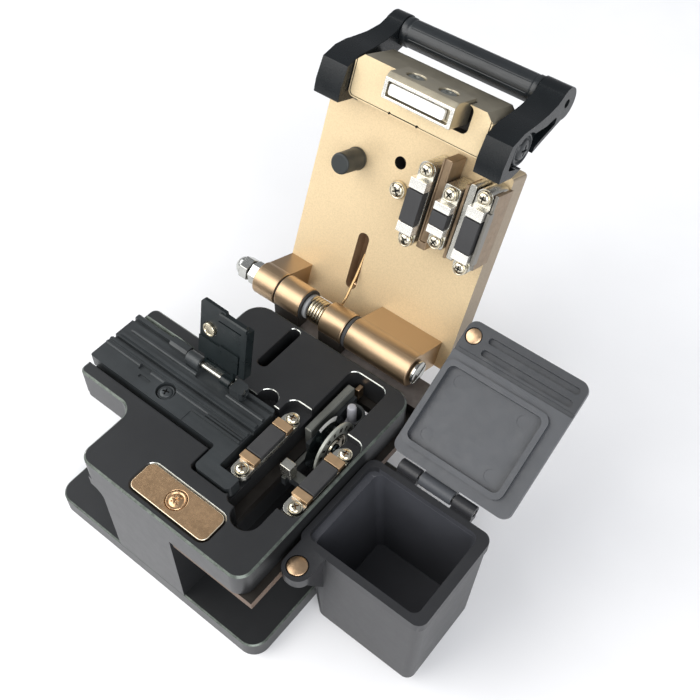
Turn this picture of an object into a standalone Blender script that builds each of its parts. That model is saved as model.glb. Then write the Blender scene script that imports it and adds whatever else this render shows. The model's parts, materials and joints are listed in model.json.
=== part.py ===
"""Fibre cleaver with its lid and scrap-bin lid open: every sub-part is one named object, in metres.

Sizes below are millimetres. The foot's front-right corner is (0, 0, 0) of these sizes, +X runs to the
scrap bin, +Y to the lid hinge and +Z up; OFFSET then puts the middle of the foot on the origin.
"""

from math import atan2, cos, hypot, pi, radians, sin, tan

import bmesh
import bpy
from mathutils import Matrix, Vector

MM = 0.001
OFFSET = Vector((40.0, -34.0, 0.0))
GAP = 0.3

# Deck, pillar and foot
DECK_TOP = 46.0
DECK_UNDER = 37.2
FOOT_TOP = 5.8
LEDGE = 43.0
SLOT_LEFT, SLOT_RIGHT = -20.8, -8.6
PILLAR = (-52.1, -26.8)

# Hinges: (Y, Z) of the axis and the angle at which each flap stands open
HINGE_Y, HINGE_Z, LID_OPEN = 76.0, 46.8, radians(68.2)
FLAP_Y, FLAP_Z, FLAP_OPEN = 40.2, 48.5, radians(79.0)
BIN_Y, BIN_Z, BIN_OPEN = 52.5, 41.5, radians(31.0)
BLADE_Y, BLADE_Z = 46.8, 38.4
LEVER_Y, LEVER_Z = 56.6, 36.9
BARREL_R = 5.0
SHAFT_R = 2.0
BORE_R = 2.3

# Lid, in its own frame: x, s up the lid from the hinge, w out of its inner face
PLATE_FACE, PLATE_BACK = -12.4, -20.0
PLATE_TOP = 59.2
CAP_FACE = -6.5
ARM_LEFT, ARM_RIGHT = (-62.3, -54.0), (-11.3, -3.7)
PAD_W = -0.3
GRIP_S, GRIP_W = 74.4, -29.0
HUB_R = 4.4

# Scrap bin
RIM_Z = 41.0
BIN_FLOOR = 4.0


def frame_at(y=0.0, z=0.0, angle=0.0):
    """Frame on the line (y, z), turned about X."""
    return Matrix.Translation((OFFSET + Vector((0, y, z))) * MM) @ Matrix.Rotation(angle, 4, "X")


WORLD = frame_at()
LID = frame_at(HINGE_Y, HINGE_Z, LID_OPEN)
FLAP = frame_at(FLAP_Y, FLAP_Z, FLAP_OPEN)
BIN_LID = frame_at(BIN_Y, BIN_Z, BIN_OPEN)
BLADE = frame_at(BLADE_Y, BLADE_Z)
LEVER = frame_at(LEVER_Y, LEVER_Z)

COLOURS = {
    "black_paint": ((0.012, 0.013, 0.015), 0.35, 0.0),
    "champagne": ((0.62, 0.42, 0.22), 0.32, 0.9),
    "bronze": ((0.42, 0.23, 0.10), 0.28, 0.9),
    "steel": ((0.55, 0.55, 0.53), 0.25, 1.0),
    "gunmetal": ((0.06, 0.065, 0.07), 0.35, 0.7),
    "grey_metal": ((0.30, 0.31, 0.31), 0.35, 0.8),
    "magnet": ((0.50, 0.36, 0.20), 0.22, 1.0),
    "rubber": ((0.018, 0.018, 0.020), 0.75, 0.0),
    "plastic": ((0.020, 0.022, 0.025), 0.45, 0.0),
    "bin_plastic": ((0.022, 0.023, 0.024), 0.40, 0.0),
    "nylon": ((0.45, 0.46, 0.46), 0.50, 0.0),
}


def clear_scene():
    for obj in list(bpy.data.objects):
        bpy.data.objects.remove(obj)


def collection(name):
    made = bpy.data.collections.new(name)
    bpy.context.scene.collection.children.link(made)
    return made


def material(name, slot):
    colour, roughness, metallic = COLOURS[slot]
    made = bpy.data.materials.new(name + "_" + slot)
    made.use_nodes = True
    shader = made.node_tree.nodes["Principled BSDF"]
    shader.inputs["Base Color"].default_value = (*colour, 1.0)
    shader.inputs["Roughness"].default_value = roughness
    shader.inputs["Metallic"].default_value = metallic
    return made


def rounded(corners, steps=4):
    """Outline through corners (x, y, radius), each rounded by an arc."""
    points = []
    for index, (x, y, r) in enumerate(corners):
        here = Vector((x, y))
        back = (Vector(corners[index - 1][:2]) - here).normalized()
        ahead = (Vector(corners[(index + 1) % len(corners)][:2]) - here).normalized()
        if r <= 0:
            points.append((x, y))
            continue
        half = back.angle(ahead) / 2
        reach = r / tan(half)
        centre = here + (back + ahead).normalized() * (r / sin(half))
        start = here + back * reach - centre
        end = here + ahead * reach - centre
        a0 = atan2(start.y, start.x)
        turn = (atan2(end.y, end.x) - a0 + pi) % (2 * pi) - pi
        for step in range(steps + 1):
            a = a0 + turn * step / steps
            points.append((centre.x + r * cos(a), centre.y + r * sin(a)))
    return points


def rect(x0, x1, y0, y1, r=0.0, steps=3):
    return rounded([(x0, y0, r), (x1, y0, r), (x1, y1, r), (x0, y1, r)], steps)


def circle(x, y, r, steps=16, start=0.0):
    turns = [start + 2 * pi * k / steps for k in range(steps)]
    return [(x + r * cos(a), y + r * sin(a)) for a in turns]


def place(a, b, t, axis):
    """Point (a, b) of an outline at height t along an axis."""
    return {"X": (t, a, b), "Y": (a, t, b), "Z": (a, b, t)}[axis]


def prism(outline, low, high, axis="Z", chamfer=0.0, both=False, segments=1):
    """Outline pushed along an axis, with a chamfer round the far end or round both ends."""
    bm = bmesh.new()
    face = bm.faces.new([bm.verts.new(place(a, b, low, axis)) for a, b in outline])
    pushed = bmesh.ops.extrude_face_region(bm, geom=[face])["geom"]
    top = [item for item in pushed if isinstance(item, bmesh.types.BMVert)]
    move = Vector(place(0, 0, high - low, axis))
    bmesh.ops.translate(bm, verts=top, vec=move)
    if chamfer:
        ends = set(top)
        edges = [e for e in bm.edges if (e.verts[0] in ends) == (e.verts[1] in ends)]
        if not both:
            edges = [e for e in edges if e.verts[0] in ends]
        bmesh.ops.bevel(bm, geom=edges, offset=chamfer, segments=segments, affect="EDGES")
    bmesh.ops.recalc_face_normals(bm, faces=bm.faces)
    return bm


def box(x, y, z, chamfer=0.0, r=0.0):
    return prism(rect(*x, *y, r), *z, "Z", chamfer)


def loft(low_outline, low, high_outline, high):
    """Solid between two outlines with the same number of points."""
    bm = bmesh.new()
    face = bm.faces.new([bm.verts.new((a, b, low)) for a, b in low_outline])
    pushed = bmesh.ops.extrude_face_region(bm, geom=[face])["geom"]
    top = [item for item in pushed if isinstance(item, bmesh.types.BMVert)]
    for vert in top:
        near = min(range(len(low_outline)), key=lambda k: (
            hypot(vert.co.x - low_outline[k][0], vert.co.y - low_outline[k][1])))
        vert.co = (*high_outline[near], high)
    bmesh.ops.recalc_face_normals(bm, faces=bm.faces)
    return bm


def turned(profile, at=(0.0, 0.0), axis="Z", steps=16, ring=False):
    """Profile of (height, radius) points spun round the axis through at."""
    bm = bmesh.new()
    verts = [bm.verts.new((r, 0, t)) for t, r in profile]
    count = len(verts) if ring else len(verts) - 1
    edges = [bm.edges.new((verts[k], verts[(k + 1) % len(verts)])) for k in range(count)]
    bmesh.ops.spin(bm, geom=verts + edges, axis=(0, 0, 1), cent=(0, 0, 0), angle=2 * pi, steps=steps)
    bmesh.ops.remove_doubles(bm, verts=bm.verts, dist=1e-3)
    bmesh.ops.dissolve_degenerate(bm, edges=bm.edges, dist=1e-3)
    for vert in bm.verts:
        x, y, t = vert.co
        vert.co = place(at[0] + x, at[1] + y, t, axis)
    bmesh.ops.recalc_face_normals(bm, faces=bm.faces)
    return bm


def rod(x0, x1, r, at=(0.0, 0.0), steps=24, chamfer=0.0):
    """Round bar along X."""
    return prism(circle(*at, r, steps), x0, x1, "X", chamfer, both=True)


def tube(x0, x1, inner, outer, at=(0.0, 0.0), steps=24):
    profile = [(x0, inner), (x0, outer), (x1, outer), (x1, inner)]
    return turned(profile, at, "X", steps, ring=True)


def put(name, bm, frame, home):
    mesh = bpy.data.meshes.new(name)
    bmesh.ops.scale(bm, verts=bm.verts, vec=(MM, MM, MM))
    bm.to_mesh(mesh)
    bm.free()
    obj = bpy.data.objects.new(name, mesh)
    obj.matrix_world = frame
    home.objects.link(obj)
    return obj


def smooth(obj):
    for face in obj.data.polygons:
        face.use_smooth = True
    obj.data.set_sharp_from_angle(angle=radians(35))


def solid(name, slot, parts, cuts=(), frame=WORLD):
    """One sub-part: the first shape, the others joined to it, and the cuts taken out."""
    first, *others = parts
    obj = put(name, first, frame, PARTS)
    obj.data.materials.append(material(name, slot))
    smooth(obj)
    jobs = [("UNION", shape) for shape in others] + [("DIFFERENCE", shape) for shape in cuts]
    for index, (kind, shape) in enumerate(jobs):
        tool = put(f"{name}_tool_{index}", shape, frame, CUTTERS)
        tool.hide_render = True
        tool.display_type = "WIRE"
        made = obj.modifiers.new(f"{kind.lower()}_{index}", "BOOLEAN")
        made.operation, made.solver, made.object = kind, "EXACT", tool
    return obj


def pan_screw(name, at, seat, frame=WORLD, r=2.0, height=1.5, shank=1.1, slot="steel"):
    """Round-headed screw with a driver socket, seated at a height."""
    top = seat + height
    profile = [(seat - shank, 0), (seat - shank, 0.85), (seat, 0.85), (seat, r), (seat + height * 0.55, r)]
    profile += [(top - 0.12, r * 0.72), (top, r * 0.45), (top - 0.55, r * 0.25), (top - 0.7, 0)]
    return solid(name, slot, [turned(profile, at, steps=12)], frame=frame)


def body_frame():
    outline = rounded([
        (-58.2, 0, 4), (-1.7, 0, 4.2), (-1.7, 68.7, 5), (-58.3, 68.7, 6),
        (-58.3, 48, 2), (-79, 48, 2), (-79, 19, 2), (-58.2, 19, 2)])
    deck = prism(outline, DECK_UNDER, DECK_TOP, chamfer=0.6)
    foot = prism(rect(-79, -0.6, 0, 70, 5, 4), 0, FOOT_TOP, chamfer=0.4)
    arc = [(-56.2 + 4.1 * sin(a), 30.3 + 4.1 * cos(a)) for a in (0.0, 0.4, 0.8, 1.2, pi / 2)]
    profile = [*arc, (PILLAR[0], 5), (PILLAR[1], 5), (PILLAR[1], 38), (-56.2, 38)]
    pillar = prism(profile, 0.05, 68.0, "Y")
    left = rounded([(-58.1, 0.1, 4), (-53, 0.1, 0), (-53, 67.8, 0), (-58.1, 67.8, 6)])
    joined = [deck, foot, pillar, prism(left, 34.2, 38), box((-78.9, -54), (19.1, 47.9), (35.4, 38), r=2)]
    cuts = [
        box((SLOT_LEFT, SLOT_RIGHT), (14.5, 66.4), (30, 50), r=2.5),
        box((-17.0, SLOT_RIGHT), (10.5, 22), (30, 50), r=4),
        box((-27.6, -2.6), (21, 48.5), (LEDGE, 50), r=1.6),
        box((-85, -27), (22.8, 43.4), (42.0, 50)),
        box((-33.8, -20.4), (15.7, 25), (42.0, 50), r=1.5),
        box((-43.3, -39.9), (51.4, 67.3), (28, 50), r=1.2),
        prism(circle(-32.5, 44.2, 3.0), 41.0, 50),
        box((-42.2, -15.6), (1.9, 11.2), (44.8, 50), r=2.3),
        prism(circle(-29.2, 6.6, 1.5, 12), 41.5, 50),
    ]
    return solid("body_frame", "black_paint", joined, cuts)


def base_block():
    knuckles = []
    for x0, x1 in ((-54.0, -45.0), (-37.4, -29.4)):
        knuckles.append(rod(x0, x1, BARREL_R, (HINGE_Y, HINGE_Z), 28))
        knuckles.append(box((x0, x1), (71.3, 78.9), (40, 46.5)))
    plate = box((-26.3, 0.3), (0.6, 79), (34.2, 36.9), 0.3)
    beam = box((-54.0, 0.3), (69.7, 79), (34.2, 40.5), 0.3)
    cuts = [
        box((-17.9, -8.8), (14, 64), (30, 38), r=1.0),
        rod(-60, -20, BORE_R, (HINGE_Y, HINGE_Z), 20),
    ]
    return solid("base_block", "bronze", [beam, plate, *knuckles], cuts)


def striker():
    plate = prism(rect(-41.9, -15.9, 2.2, 10.9, 2, 4), 45.1, 46.2, chamfer=0.25)
    solid("striker_plate", "magnet", [plate], [prism(circle(-29.2, 6.6, 3.1, 20), 40, 50)])
    pan_screw("striker_screw", (-29.2, 6.6), 45.1, r=2.75, height=1.05, shank=3.0)


def fibre_guide():
    foot = rounded([
        (-79, 24.4, 0.8), (-32.9, 24.4, 0), (-32.9, 16.4, 1.5), (-21, 16.4, 1.5),
        (-21, 20.7, 0), (-27.9, 20.7, 0), (-27.9, 42.4, 0.8), (-79, 42.4, 0.8)])
    base = prism(foot, 42.3, 46.0, chamfer=0.4)
    section = [
        (24.7, 45), (24.7, 46.4), (25.1, 46.8), (31.7, 46.8), (32.1, 46.1), (34.3, 46.1), (34.6, 47.1),
        (35.6, 47.1), (35.9, 46.5), (37.2, 46.5), (37.4, 47.1), (38.0, 47.1), (38.2, 45)]
    rail = prism(section, -78.6, -28.2, "X")
    hub = rod(-57.2, -52.4, 2.0, (FLAP_Y, FLAP_Z), 16)
    web = box((-57.2, -52.4), (38.4, 42.0), (45.5, FLAP_Z))
    block = prism(rect(38.2, 42.2, 45.5, 50.0), -41.1, -36.6, "X", 0.5, both=True)
    cuts = [
        prism(circle(-55, 28.6, 2.8), 44.6, 50),
        prism(circle(-55, 28.6, 1.2, 12), 41, 50),
        box((-52.3, -41.2), (37.0, 43), (46.0, 50)),
        rod(-58.2, -30, 1.1, (FLAP_Y, FLAP_Z), 12),
    ]
    wall = box((-78.8, -64.8), (41.0, 43.1), (45.5, 48.0), 0.3)
    stop = box((-65.0, -58.6), (40.0, 43.0), (45.4, 48.8), 0.3)
    solid("guide_block", "gunmetal", [base, rail, hub, web, block, wall, stop], cuts)
    pan_screw("guide_screw", (-55, 28.6), 44.9, r=2.4, height=1.5, shank=1.8)
    solid("flap_pin", "steel", [rod(-57.0, -37.0, 0.8, (FLAP_Y, FLAP_Z), 12)])


def fibre_flap():
    outline = rounded([
        (-53.2, 5.4, 0), (-36.8, 5.4, 0), (-36.8, 20.6, 0), (-38.4, 23.6, 0.6),
        (-51.8, 23.6, 1.0), (-53.2, 21.4, 0.6)], 2)
    plate = prism(outline, -0.6, 0.9, chamfer=0.2)
    rib = box((-38.6, -36.8), (5.5, 20.5), (-1.9, -0.1))
    strip = box((-52.0, -41.5), (1.0, 7.0), (-1.4, -0.3))
    lug = rod(-44.5, -41.5, 1.5, steps=16)
    cuts = [rod(-60, -36, 1.1, steps=12), prism(circle(-50.5, 14.6, 2.1), -3, 3)]
    solid("fibre_flap", "gunmetal", [plate, rib, strip, lug], cuts, FLAP)
    magnet = prism(circle(-50.5, 14.6, 1.8), -0.5, 1.1, chamfer=0.15)
    solid("flap_magnet", "magnet", [magnet], frame=FLAP)


def anvil(side, x0, x1, screw_x):
    """Rubber-faced bar that the fibre lies on, held by a screw at each end."""
    base = box((x0, x1), (21.4, 45.2), (43.3, 44.9), 0.2)
    ends = [box((x0, x1), span, (44.5, 46.5), 0.2) for span in ((26.0, 28.4), (38.7, 41.3))]
    holes = [prism(circle(screw_x, y, 1.15, 12), 40, 50) for y in (23.6, 43.4)]
    solid(f"{side}_anvil", "magnet", [base, *ends], holes)
    pad = box((x0, x1), (28.7, 38.4), (45.2, 46.7), 0.2)
    solid(f"{side}_anvil_pad", "rubber", [pad])
    pan_screw(f"{side}_anvil_screw_front", (screw_x, 23.6), 45.2)
    pan_screw(f"{side}_anvil_screw_rear", (screw_x, 43.4), 45.2)


def blade_carriage():
    side = [
        (32.0, 33.6), (62.4, 33.6), (62.4, 41.0), (42.2, 41.0), (42.2, 36.9), (32.0, 36.9)]
    arm = prism(side, -17.5, -16.2, "X")
    bar = prism(rect(-19.5, -17.3, 44.2, 62.8, 0.3, 2), 37.2, 44.0, chamfer=0.4)
    floor = box((-17.4, -9.2), (55.4, 62.4), (33.6, 35.4))
    inner = [(-13.4 + 2.8 * cos(a), 56.6 + 2.8 * sin(a)) for a in [radians(d) for d in range(-40, 131, 17)]]
    outer = [(-13.4 + 3.6 * cos(a), 56.6 + 3.6 * sin(a)) for a in [radians(d) for d in range(130, -41, -17)]]
    guard = prism(inner + outer, 35.0, 42.0)
    cuts = [rod(-20, -10, 1.8, (BLADE_Y, BLADE_Z), 16), rod(-16.0, -10.8, 2.2, (LEVER_Y, LEVER_Z), 16)]
    solid("blade_carriage", "gunmetal", [arm, bar, floor, guard], cuts)
    block = box((-18.2, -14.6), (32.4, 35.3), (37.2, 42.0), 0.4)
    solid("carriage_block", "grey_metal", [block])


def blade():
    disc = turned([
        (-17.3, 0), (-17.3, 1.5), (-15.4, 1.5), (-15.4, 2.4), (-15.2, 2.4), (-14.95, 8.2), (-14.85, 8.2),
        (-14.5, 2.6), (-12.4, 2.6), (-12.4, 1.5), (-10.6, 1.5), (-10.6, 0)], axis="X", steps=32)
    solid("blade", "steel", [disc], frame=BLADE)
    dial = turned([
        (-12.1, 1.8), (-12.1, 8.1), (-11.3, 8.1), (-11.2, 7.9), (-11.2, 5.2), (-11.6, 4.9), (-11.6, 1.8)],
        axis="X", steps=32, ring=True)
    solid("blade_dial", "grey_metal", [dial], frame=BLADE)
    pin = turned([(-0.5, 0), (-0.5, 1.25), (7.6, 1.25), (8.3, 0.85), (8.5, 0)], (-13.4, 0), steps=16)
    solid("index_lever", "grey_metal", [rod(-15.2, -11.6, 1.5, steps=16, chamfer=0.2), pin], frame=LEVER)


def lid_hinge():
    at = (HINGE_Y, HINGE_Z)
    shaft = turned([
        (-68.0, 0), (-68.0, SHAFT_R), (-6.7, SHAFT_R), (-6.7, 3.5), (-5.7, 3.5), (-5.3, 3.1), (-5.3, 0)],
        at, "X", 24)
    slot = box((-5.9, -5), (HINGE_Y - 0.5, HINGE_Y + 0.5), (HINGE_Z - 4, HINGE_Z + 4))
    solid("hinge_shaft", "steel", [shaft], [slot])
    hexagon = prism(circle(*at, 3.7, 6), -69.2, -66.2, "X")
    dome = turned([(-68.8, 0), (-68.8, 3.1), (-70.2, 2.9), (-71.4, 1.9), (-72.0, 0)][::-1], at, "X", 16)
    solid("acorn_nut", "steel", [hexagon, dome], [rod(-68.4, -66, BORE_R, at, 16)])
    solid("jam_nut", "steel", [prism(circle(*at, 3.7, 6), -65.8, -62.8, "X", 0.2, both=True)],
          [rod(-70, -60, BORE_R, at, 16)])
    solid("end_washer", "rubber", [tube(-29.1, -28.4, BORE_R, 4.7, at)])
    solid("spring_bushing", "nylon", [tube(-44.7, -43.9, BORE_R, 4.3, at)])


def torsion_spring():
    """Coil round the shaft, with a leg that reaches up into the slot of the lid."""
    r, start, turns, steps = 3.5, radians(32.4), 5, 14
    points = []
    for k in range(turns * steps + 1):
        a = start + 2 * pi * (turns - k / steps)
        points.append((-43.1 + 4.8 * k / (turns * steps), r * cos(a), r * sin(a)))
    points += [(-38.6, 4.4, -1.0), (-39.6, 10.9, -11.3), (-39.8, 12.3, -13.6)]
    curve = bpy.data.curves.new("torsion_spring", "CURVE")
    curve.dimensions = "3D"
    curve.bevel_depth, curve.bevel_resolution, curve.use_fill_caps = 0.38 * MM, 2, True
    spline = curve.splines.new("POLY")
    spline.points.add(len(points) - 1)
    for spot, point in zip(spline.points, points):
        spot.co = (*(Vector(point) * MM), 1.0)
        spot.radius = 1.0
    obj = bpy.data.objects.new("torsion_spring", curve)
    obj.matrix_world = LID
    obj.data.materials.append(material("torsion_spring", "bronze"))
    PARTS.objects.link(obj)


def lid_plate():
    outline = rounded([
        (-62.3, -3.5, 0), (-3.6, -3.5, 0), (-3.6, 56.8, 1), (-11.6, 56.8, 0), (-11.6, PLATE_TOP, 0),
        (-53.7, PLATE_TOP, 0), (-53.7, 56.8, 0), (-62.3, 56.8, 1)], 2)
    plate = prism(outline, PLATE_BACK, PLATE_FACE)
    back = prism(rect(-58, -8, 23, 53, 2), -24.0, -19.5)
    knuckles = []
    for x0, x1 in ((-62.3, -54.4), (-28.1, -7.0)):
        knuckles.append(rod(x0, x1, BARREL_R, steps=28))
        knuckles.append(box((x0, x1), (-3.5, 4.6), (PLATE_FACE - 0.6, 0.4)))
    cuts = [
        rod(-70, 0, BORE_R, steps=20),
        box((-42.0, -38.6), (4.4, 22.4), (-30, -5), r=1.5),
        prism(circle(-35.8, 46.6, 1.8), -17, -5),
    ]
    return solid("lid_plate", "champagne", [plate, back, *knuckles], cuts, LID)


def lid_top():
    outline = rounded([
        (-53.7, PLATE_TOP + GAP, 0.6), (-11.6, PLATE_TOP + GAP, 0.6), (-11.6, 69.0, 0),
        (-13.9, 71.2, 0), (-51.4, 71.2, 0), (-53.7, 69.0, 0)], 2)
    cap = prism(outline, PLATE_BACK, CAP_FACE, chamfer=0.5)
    notch = [box((-40.4, -18.9), (70.4, 75), (-10.4, 0))]
    solid("lid_cap", "champagne", [cap], notch, LID)
    block = box((-40.0, -19.2), (65.4, 72.2), (-6.2, 0.3), 0.3)
    tail = box((-40.0, -19.2), (70.7, 72.2), (-10.0, -5.5))
    cuts = [box((-37.8, -21.4), (66.6, 70.0), (-1.4, 2))]
    cuts += [turned([(70.6, 0), (70.6, 1.9), (73, 1.9), (73, 0)], (x, -5.2), "Y", 14) for x in (-34.7, -24.9)]
    solid("latch_block", "champagne", [block, tail], cuts, LID)
    magnet = box((-37.5, -21.7), (66.9, 69.7), (-1.1, 0.1), 0.15)
    solid("latch_magnet", "steel", [magnet], frame=LID)
    for side, x in (("left", -34.7), ("right", -24.9)):
        profile = [(71.0, 0), (71.0, 1.6), (72.2, 1.6), (72.2, 0.8), (71.7, 0.6), (71.6, 0)]
        head = turned(profile, (x, -5.2), "Y", 14)
        solid(f"latch_screw_{side}", "steel", [head], frame=LID)


def lid_fittings():
    profile = [(-12.1, 0), (-12.1, 3.3), (-11.3, 3.3), (-11.1, 3.1), (-4.2, 3.1), (-3.7, 2.6), (-3.7, 0)]
    solid("lid_bumper", "rubber", [turned(profile, (-49.0, 42.0), steps=20)], frame=LID)
    pan_screw("lid_screw", (-33.8, 39.6), -12.1, LID, r=2.5, height=1.7, shank=0.0)


def clamp(number, x0, x1, spans, screws, screw_x):
    """Sprung clamp of the lid: two metal ends with a rubber pad between them, and a screw at each end."""
    low, first, second, high = spans
    base = box((x0, x1), (screws[0] - 2.0, screws[1] + 2.0), (-12.1, -3.4), 0.2)
    ends = [box((x0, x1), span, (-4.0, -0.5), 0.2) for span in ((low, first), (second, high))]
    holes = [prism(circle(screw_x, s, 1.15, 12), -8, 5) for s in screws]
    solid(f"clamp_{number}_holder", "grey_metal", [base, *ends], holes, LID)
    pad = box((x0, x1), (first + GAP, second - GAP), (-3.1, PAD_W), 0.2)
    solid(f"clamp_{number}_pad", "rubber", [pad], frame=LID)
    for side, s in zip(("low", "high"), screws):
        pan_screw(f"clamp_{number}_screw_{side}", (screw_x, s), -3.1, LID)


def clamps():
    clamp(1, -25.6, -20.8, (34.6, 37.4, 47.2, 50.0), (32.4, 52.4), -22.9)
    clamp(2, -17.2, -12.4, (38.4, 40.6, 45.0, 47.2), (36.0, 49.6), -14.6)
    clamp(3, -8.3, -3.6, (35.2, 37.8, 47.4, 50.2), (32.8, 52.8), -5.7)
    wall = box((-20.4, -17.6), (31.0, 56.5), (-12.1, -4.6), 0.4)
    solid("clamp_bracket", "champagne", [wall], frame=LID)
    side = box((-3.2, -2.3), (33.5, 54.7), (-11.0, -1.6))
    solid("clamp_side_plate", "grey_metal", [side], frame=LID)


def handle():
    turns = [radians(d) for d in range(105, -181, -19)]
    hub = [(GRIP_S + HUB_R * cos(a), GRIP_W + HUB_R * sin(a)) for a in turns]
    profile = [
        (57.6, -9.8), (57.4, -3.4), (64.0, -3.3), (68.3, -5.2), (69.9, -7.6), (71.0, -14.5), (72.2, -22.6),
        *hub, (65.4, -21.2), (62.6, -16.9), (59.2, -13.5)]
    for side, span in (("left", ARM_LEFT), ("right", ARM_RIGHT)):
        arm = prism(profile, *span, "X", 0.5, both=True)
        at = span[0] - 1 if side == "left" else span[1] - 2.0
        cuts = [rod(at, at + 3, 2.4, (65.2, -11.0), 16)]
        if side == "left":
            taper = [(-66, -20.5), (-62.5, -20.5), (-58.7, -25.5), (-58.7, -40), (-66, -40)]
            cuts.append(prism(taper, 62, 85, "Y"))
        solid(f"handle_arm_{side}", "plastic", [arm], cuts, LID)
    grip = rod(ARM_LEFT[1] + GAP, ARM_RIGHT[0] - GAP, 3.9, (GRIP_S, GRIP_W), 28, 0.3)
    solid("handle_bar", "rubber", [grip], frame=LID)


def scrap_bin():
    low, high = rect(3.5, 35.3, 20.2, 48.4, 2.5), rect(0.8, 36.4, 19.5, 49.7, 2.5)
    shell = loft(low, BIN_FLOOR, high, 38.5)
    lip = prism(rect(-1.2, 36.8, 19.3, 50.0, 2.5), 37.8, RIM_Z, chamfer=0.4)
    ear = prism(rounded([(0, 9.9, 3), (8, 9.9, 3), (8, 21, 0), (0, 21, 0)]), 37.8, RIM_Z, chamfer=0.4)
    web = prism([(11.5, 38.2), (20.5, 38.2), (20.5, 22.0)], 1.6, 6.8, "X")
    hubs = []
    for x0, x1 in ((6.2, 12.4), (23.2, 29.4)):
        hubs.append(rod(x0, x1, 1.9, (BIN_Y, BIN_Z), 16))
        hubs.append(box((x0, x1), (49.4, 53.2), (38.6, 40.7)))
    cuts = [
        loft(rect(5.3, 33.2, 22.0, 46.7, 2), 6.0, rect(2.4, 33.8, 21.6, 48.0, 2), 39.2),
        prism(rect(0.4, 33.8, 21.4, 48.1, 2), 39.0, 45),
        prism(circle(3.8, 13.8, 2.9), 39.6, 45),
        rod(0, 40, 1.1, (BIN_Y, BIN_Z), 12),
    ]
    solid("scrap_bin", "bin_plastic", [shell, lip, ear, web, *hubs], cuts)
    solid("bin_magnet", "magnet", [prism(circle(3.8, 13.8, 2.6, 20), 39.9, 41.1, chamfer=0.2)])
    solid("bin_hinge_pin", "steel", [rod(6.4, 29.2, 0.8, (BIN_Y, BIN_Z), 12)])


def bin_lid():
    panel = prism(rect(1.4, 37.2, 2.3, 42.5, 2.2), -1.8, 0.2, chamfer=0.4, both=True)
    ring = prism(rect(1.9, 33.2, 5.2, 30.6, 2.2), 0.0, 1.4, chamfer=0.2)
    bars = [rod(12.8, 22.8, 1.9, steps=16), box((12.8, 22.8), (0.6, 3.6), (-1.8, 0.1))]
    cuts = [
        prism(rect(3.4, 31.7, 6.7, 29.1, 1.6), -0.4, 3),
        box((8.3, 35.4), (38.6, 40.4), (-5, 5), r=0.8),
        box((8.3, 35.4), (35.0, 36.8), (-5, 5), r=0.8),
        prism(circle(4.2, 38.4, 2.4), -0.9, 5),
        rod(0, 40, 1.1, steps=12),
    ]
    solid("bin_lid", "bin_plastic", [panel, ring, *bars], cuts, BIN_LID)
    magnet = prism(circle(4.2, 38.4, 2.1), -0.6, 0.2, chamfer=0.15)
    solid("bin_lid_magnet", "magnet", [magnet], frame=BIN_LID)


clear_scene()
PARTS = collection("fibre_cleaver")
CUTTERS = collection("cutters")
CUTTERS.hide_render = True

body_frame()
base_block()
striker()
fibre_guide()
fibre_flap()
anvil("left", -26.0, -20.8, -22.9)
anvil("right", -8.4, -3.3, -5.1)
blade_carriage()
blade()
lid_hinge()
torsion_spring()
lid_plate()
lid_top()
lid_fittings()
clamps()
handle()
scrap_bin()
bin_lid()
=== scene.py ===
"""Looks of the fibre cleaver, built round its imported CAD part.

Sizes are millimetres. The base's are from near the foot's front right corner, and each moving body's
are from its own axis, except for the carriage's, which are the base's.
"""

import json
from math import atan2, cos, hypot, pi, radians, sin, tan

import bmesh
import bpy
from mathutils import Euler, Matrix, Vector

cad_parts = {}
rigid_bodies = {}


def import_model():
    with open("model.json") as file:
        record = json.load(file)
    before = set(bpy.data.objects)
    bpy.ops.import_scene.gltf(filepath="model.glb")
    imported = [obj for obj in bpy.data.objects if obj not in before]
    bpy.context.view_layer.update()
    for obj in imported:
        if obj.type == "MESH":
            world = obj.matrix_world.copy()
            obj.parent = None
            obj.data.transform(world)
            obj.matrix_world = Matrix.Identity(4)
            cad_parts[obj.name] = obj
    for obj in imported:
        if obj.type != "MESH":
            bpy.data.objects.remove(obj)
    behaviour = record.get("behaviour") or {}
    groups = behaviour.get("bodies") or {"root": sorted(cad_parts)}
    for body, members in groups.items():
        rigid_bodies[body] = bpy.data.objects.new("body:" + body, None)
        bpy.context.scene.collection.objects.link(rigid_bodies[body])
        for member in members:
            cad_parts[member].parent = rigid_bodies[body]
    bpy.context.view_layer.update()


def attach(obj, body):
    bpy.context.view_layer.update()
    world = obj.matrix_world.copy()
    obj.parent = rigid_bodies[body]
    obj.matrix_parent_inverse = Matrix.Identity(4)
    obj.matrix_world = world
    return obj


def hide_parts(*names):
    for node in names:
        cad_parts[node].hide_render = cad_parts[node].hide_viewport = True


for old in list(bpy.data.objects):
    bpy.data.objects.remove(old)
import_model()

MM = 0.001
OFFSET = Vector((40.0, -34.0, 0.0))

# How far each hinged part stands open at rest.
LID_OPEN, FLAP_OPEN, BIN_OPEN = radians(68.2), radians(79.0), radians(31.0)

# Axes along X, as (y, z).
HINGE_AXIS = (76.0, 46.8)
FLAP_AXIS = (40.2, 48.5)
BIN_AXIS = (52.5, 41.5)
BLADE_AXIS = (46.8, 38.4)
LEVER_AXIS = (56.6, 36.9)
LEVER_X = -13.4

# Heights of the body, and the width of the sloped rim round its pockets, whose front-facing side carries a
# painted highlight.
DECK_LOW, DECK_TOP, FOOT_TOP = 37.2, 46.0, 5.8
RIM = 0.22

# Radii shared by the hinge's barrels and the bores through them.
BARREL_R, SHAFT_BORE_R, PIN_BORE_R = 5.0, 2.3, 1.1

# Centres of round features, as (x, y) on the piece that carries them.
STRIKER_SCREW = (-29.2, 6.6)
GUIDE_SCREW = (-55.0, 28.6)
DECK_RELIEF = (-32.5, 44.2)
FLAP_DISC = (-49.7, 14.9)
BIN_MAGNET = (3.8, 13.8)
BIN_LID_MAGNET = (4.2, 38.4)
LID_HOLE = (-35.8, 46.6)
BUMPER = (-49.0, 42.0)

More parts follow.
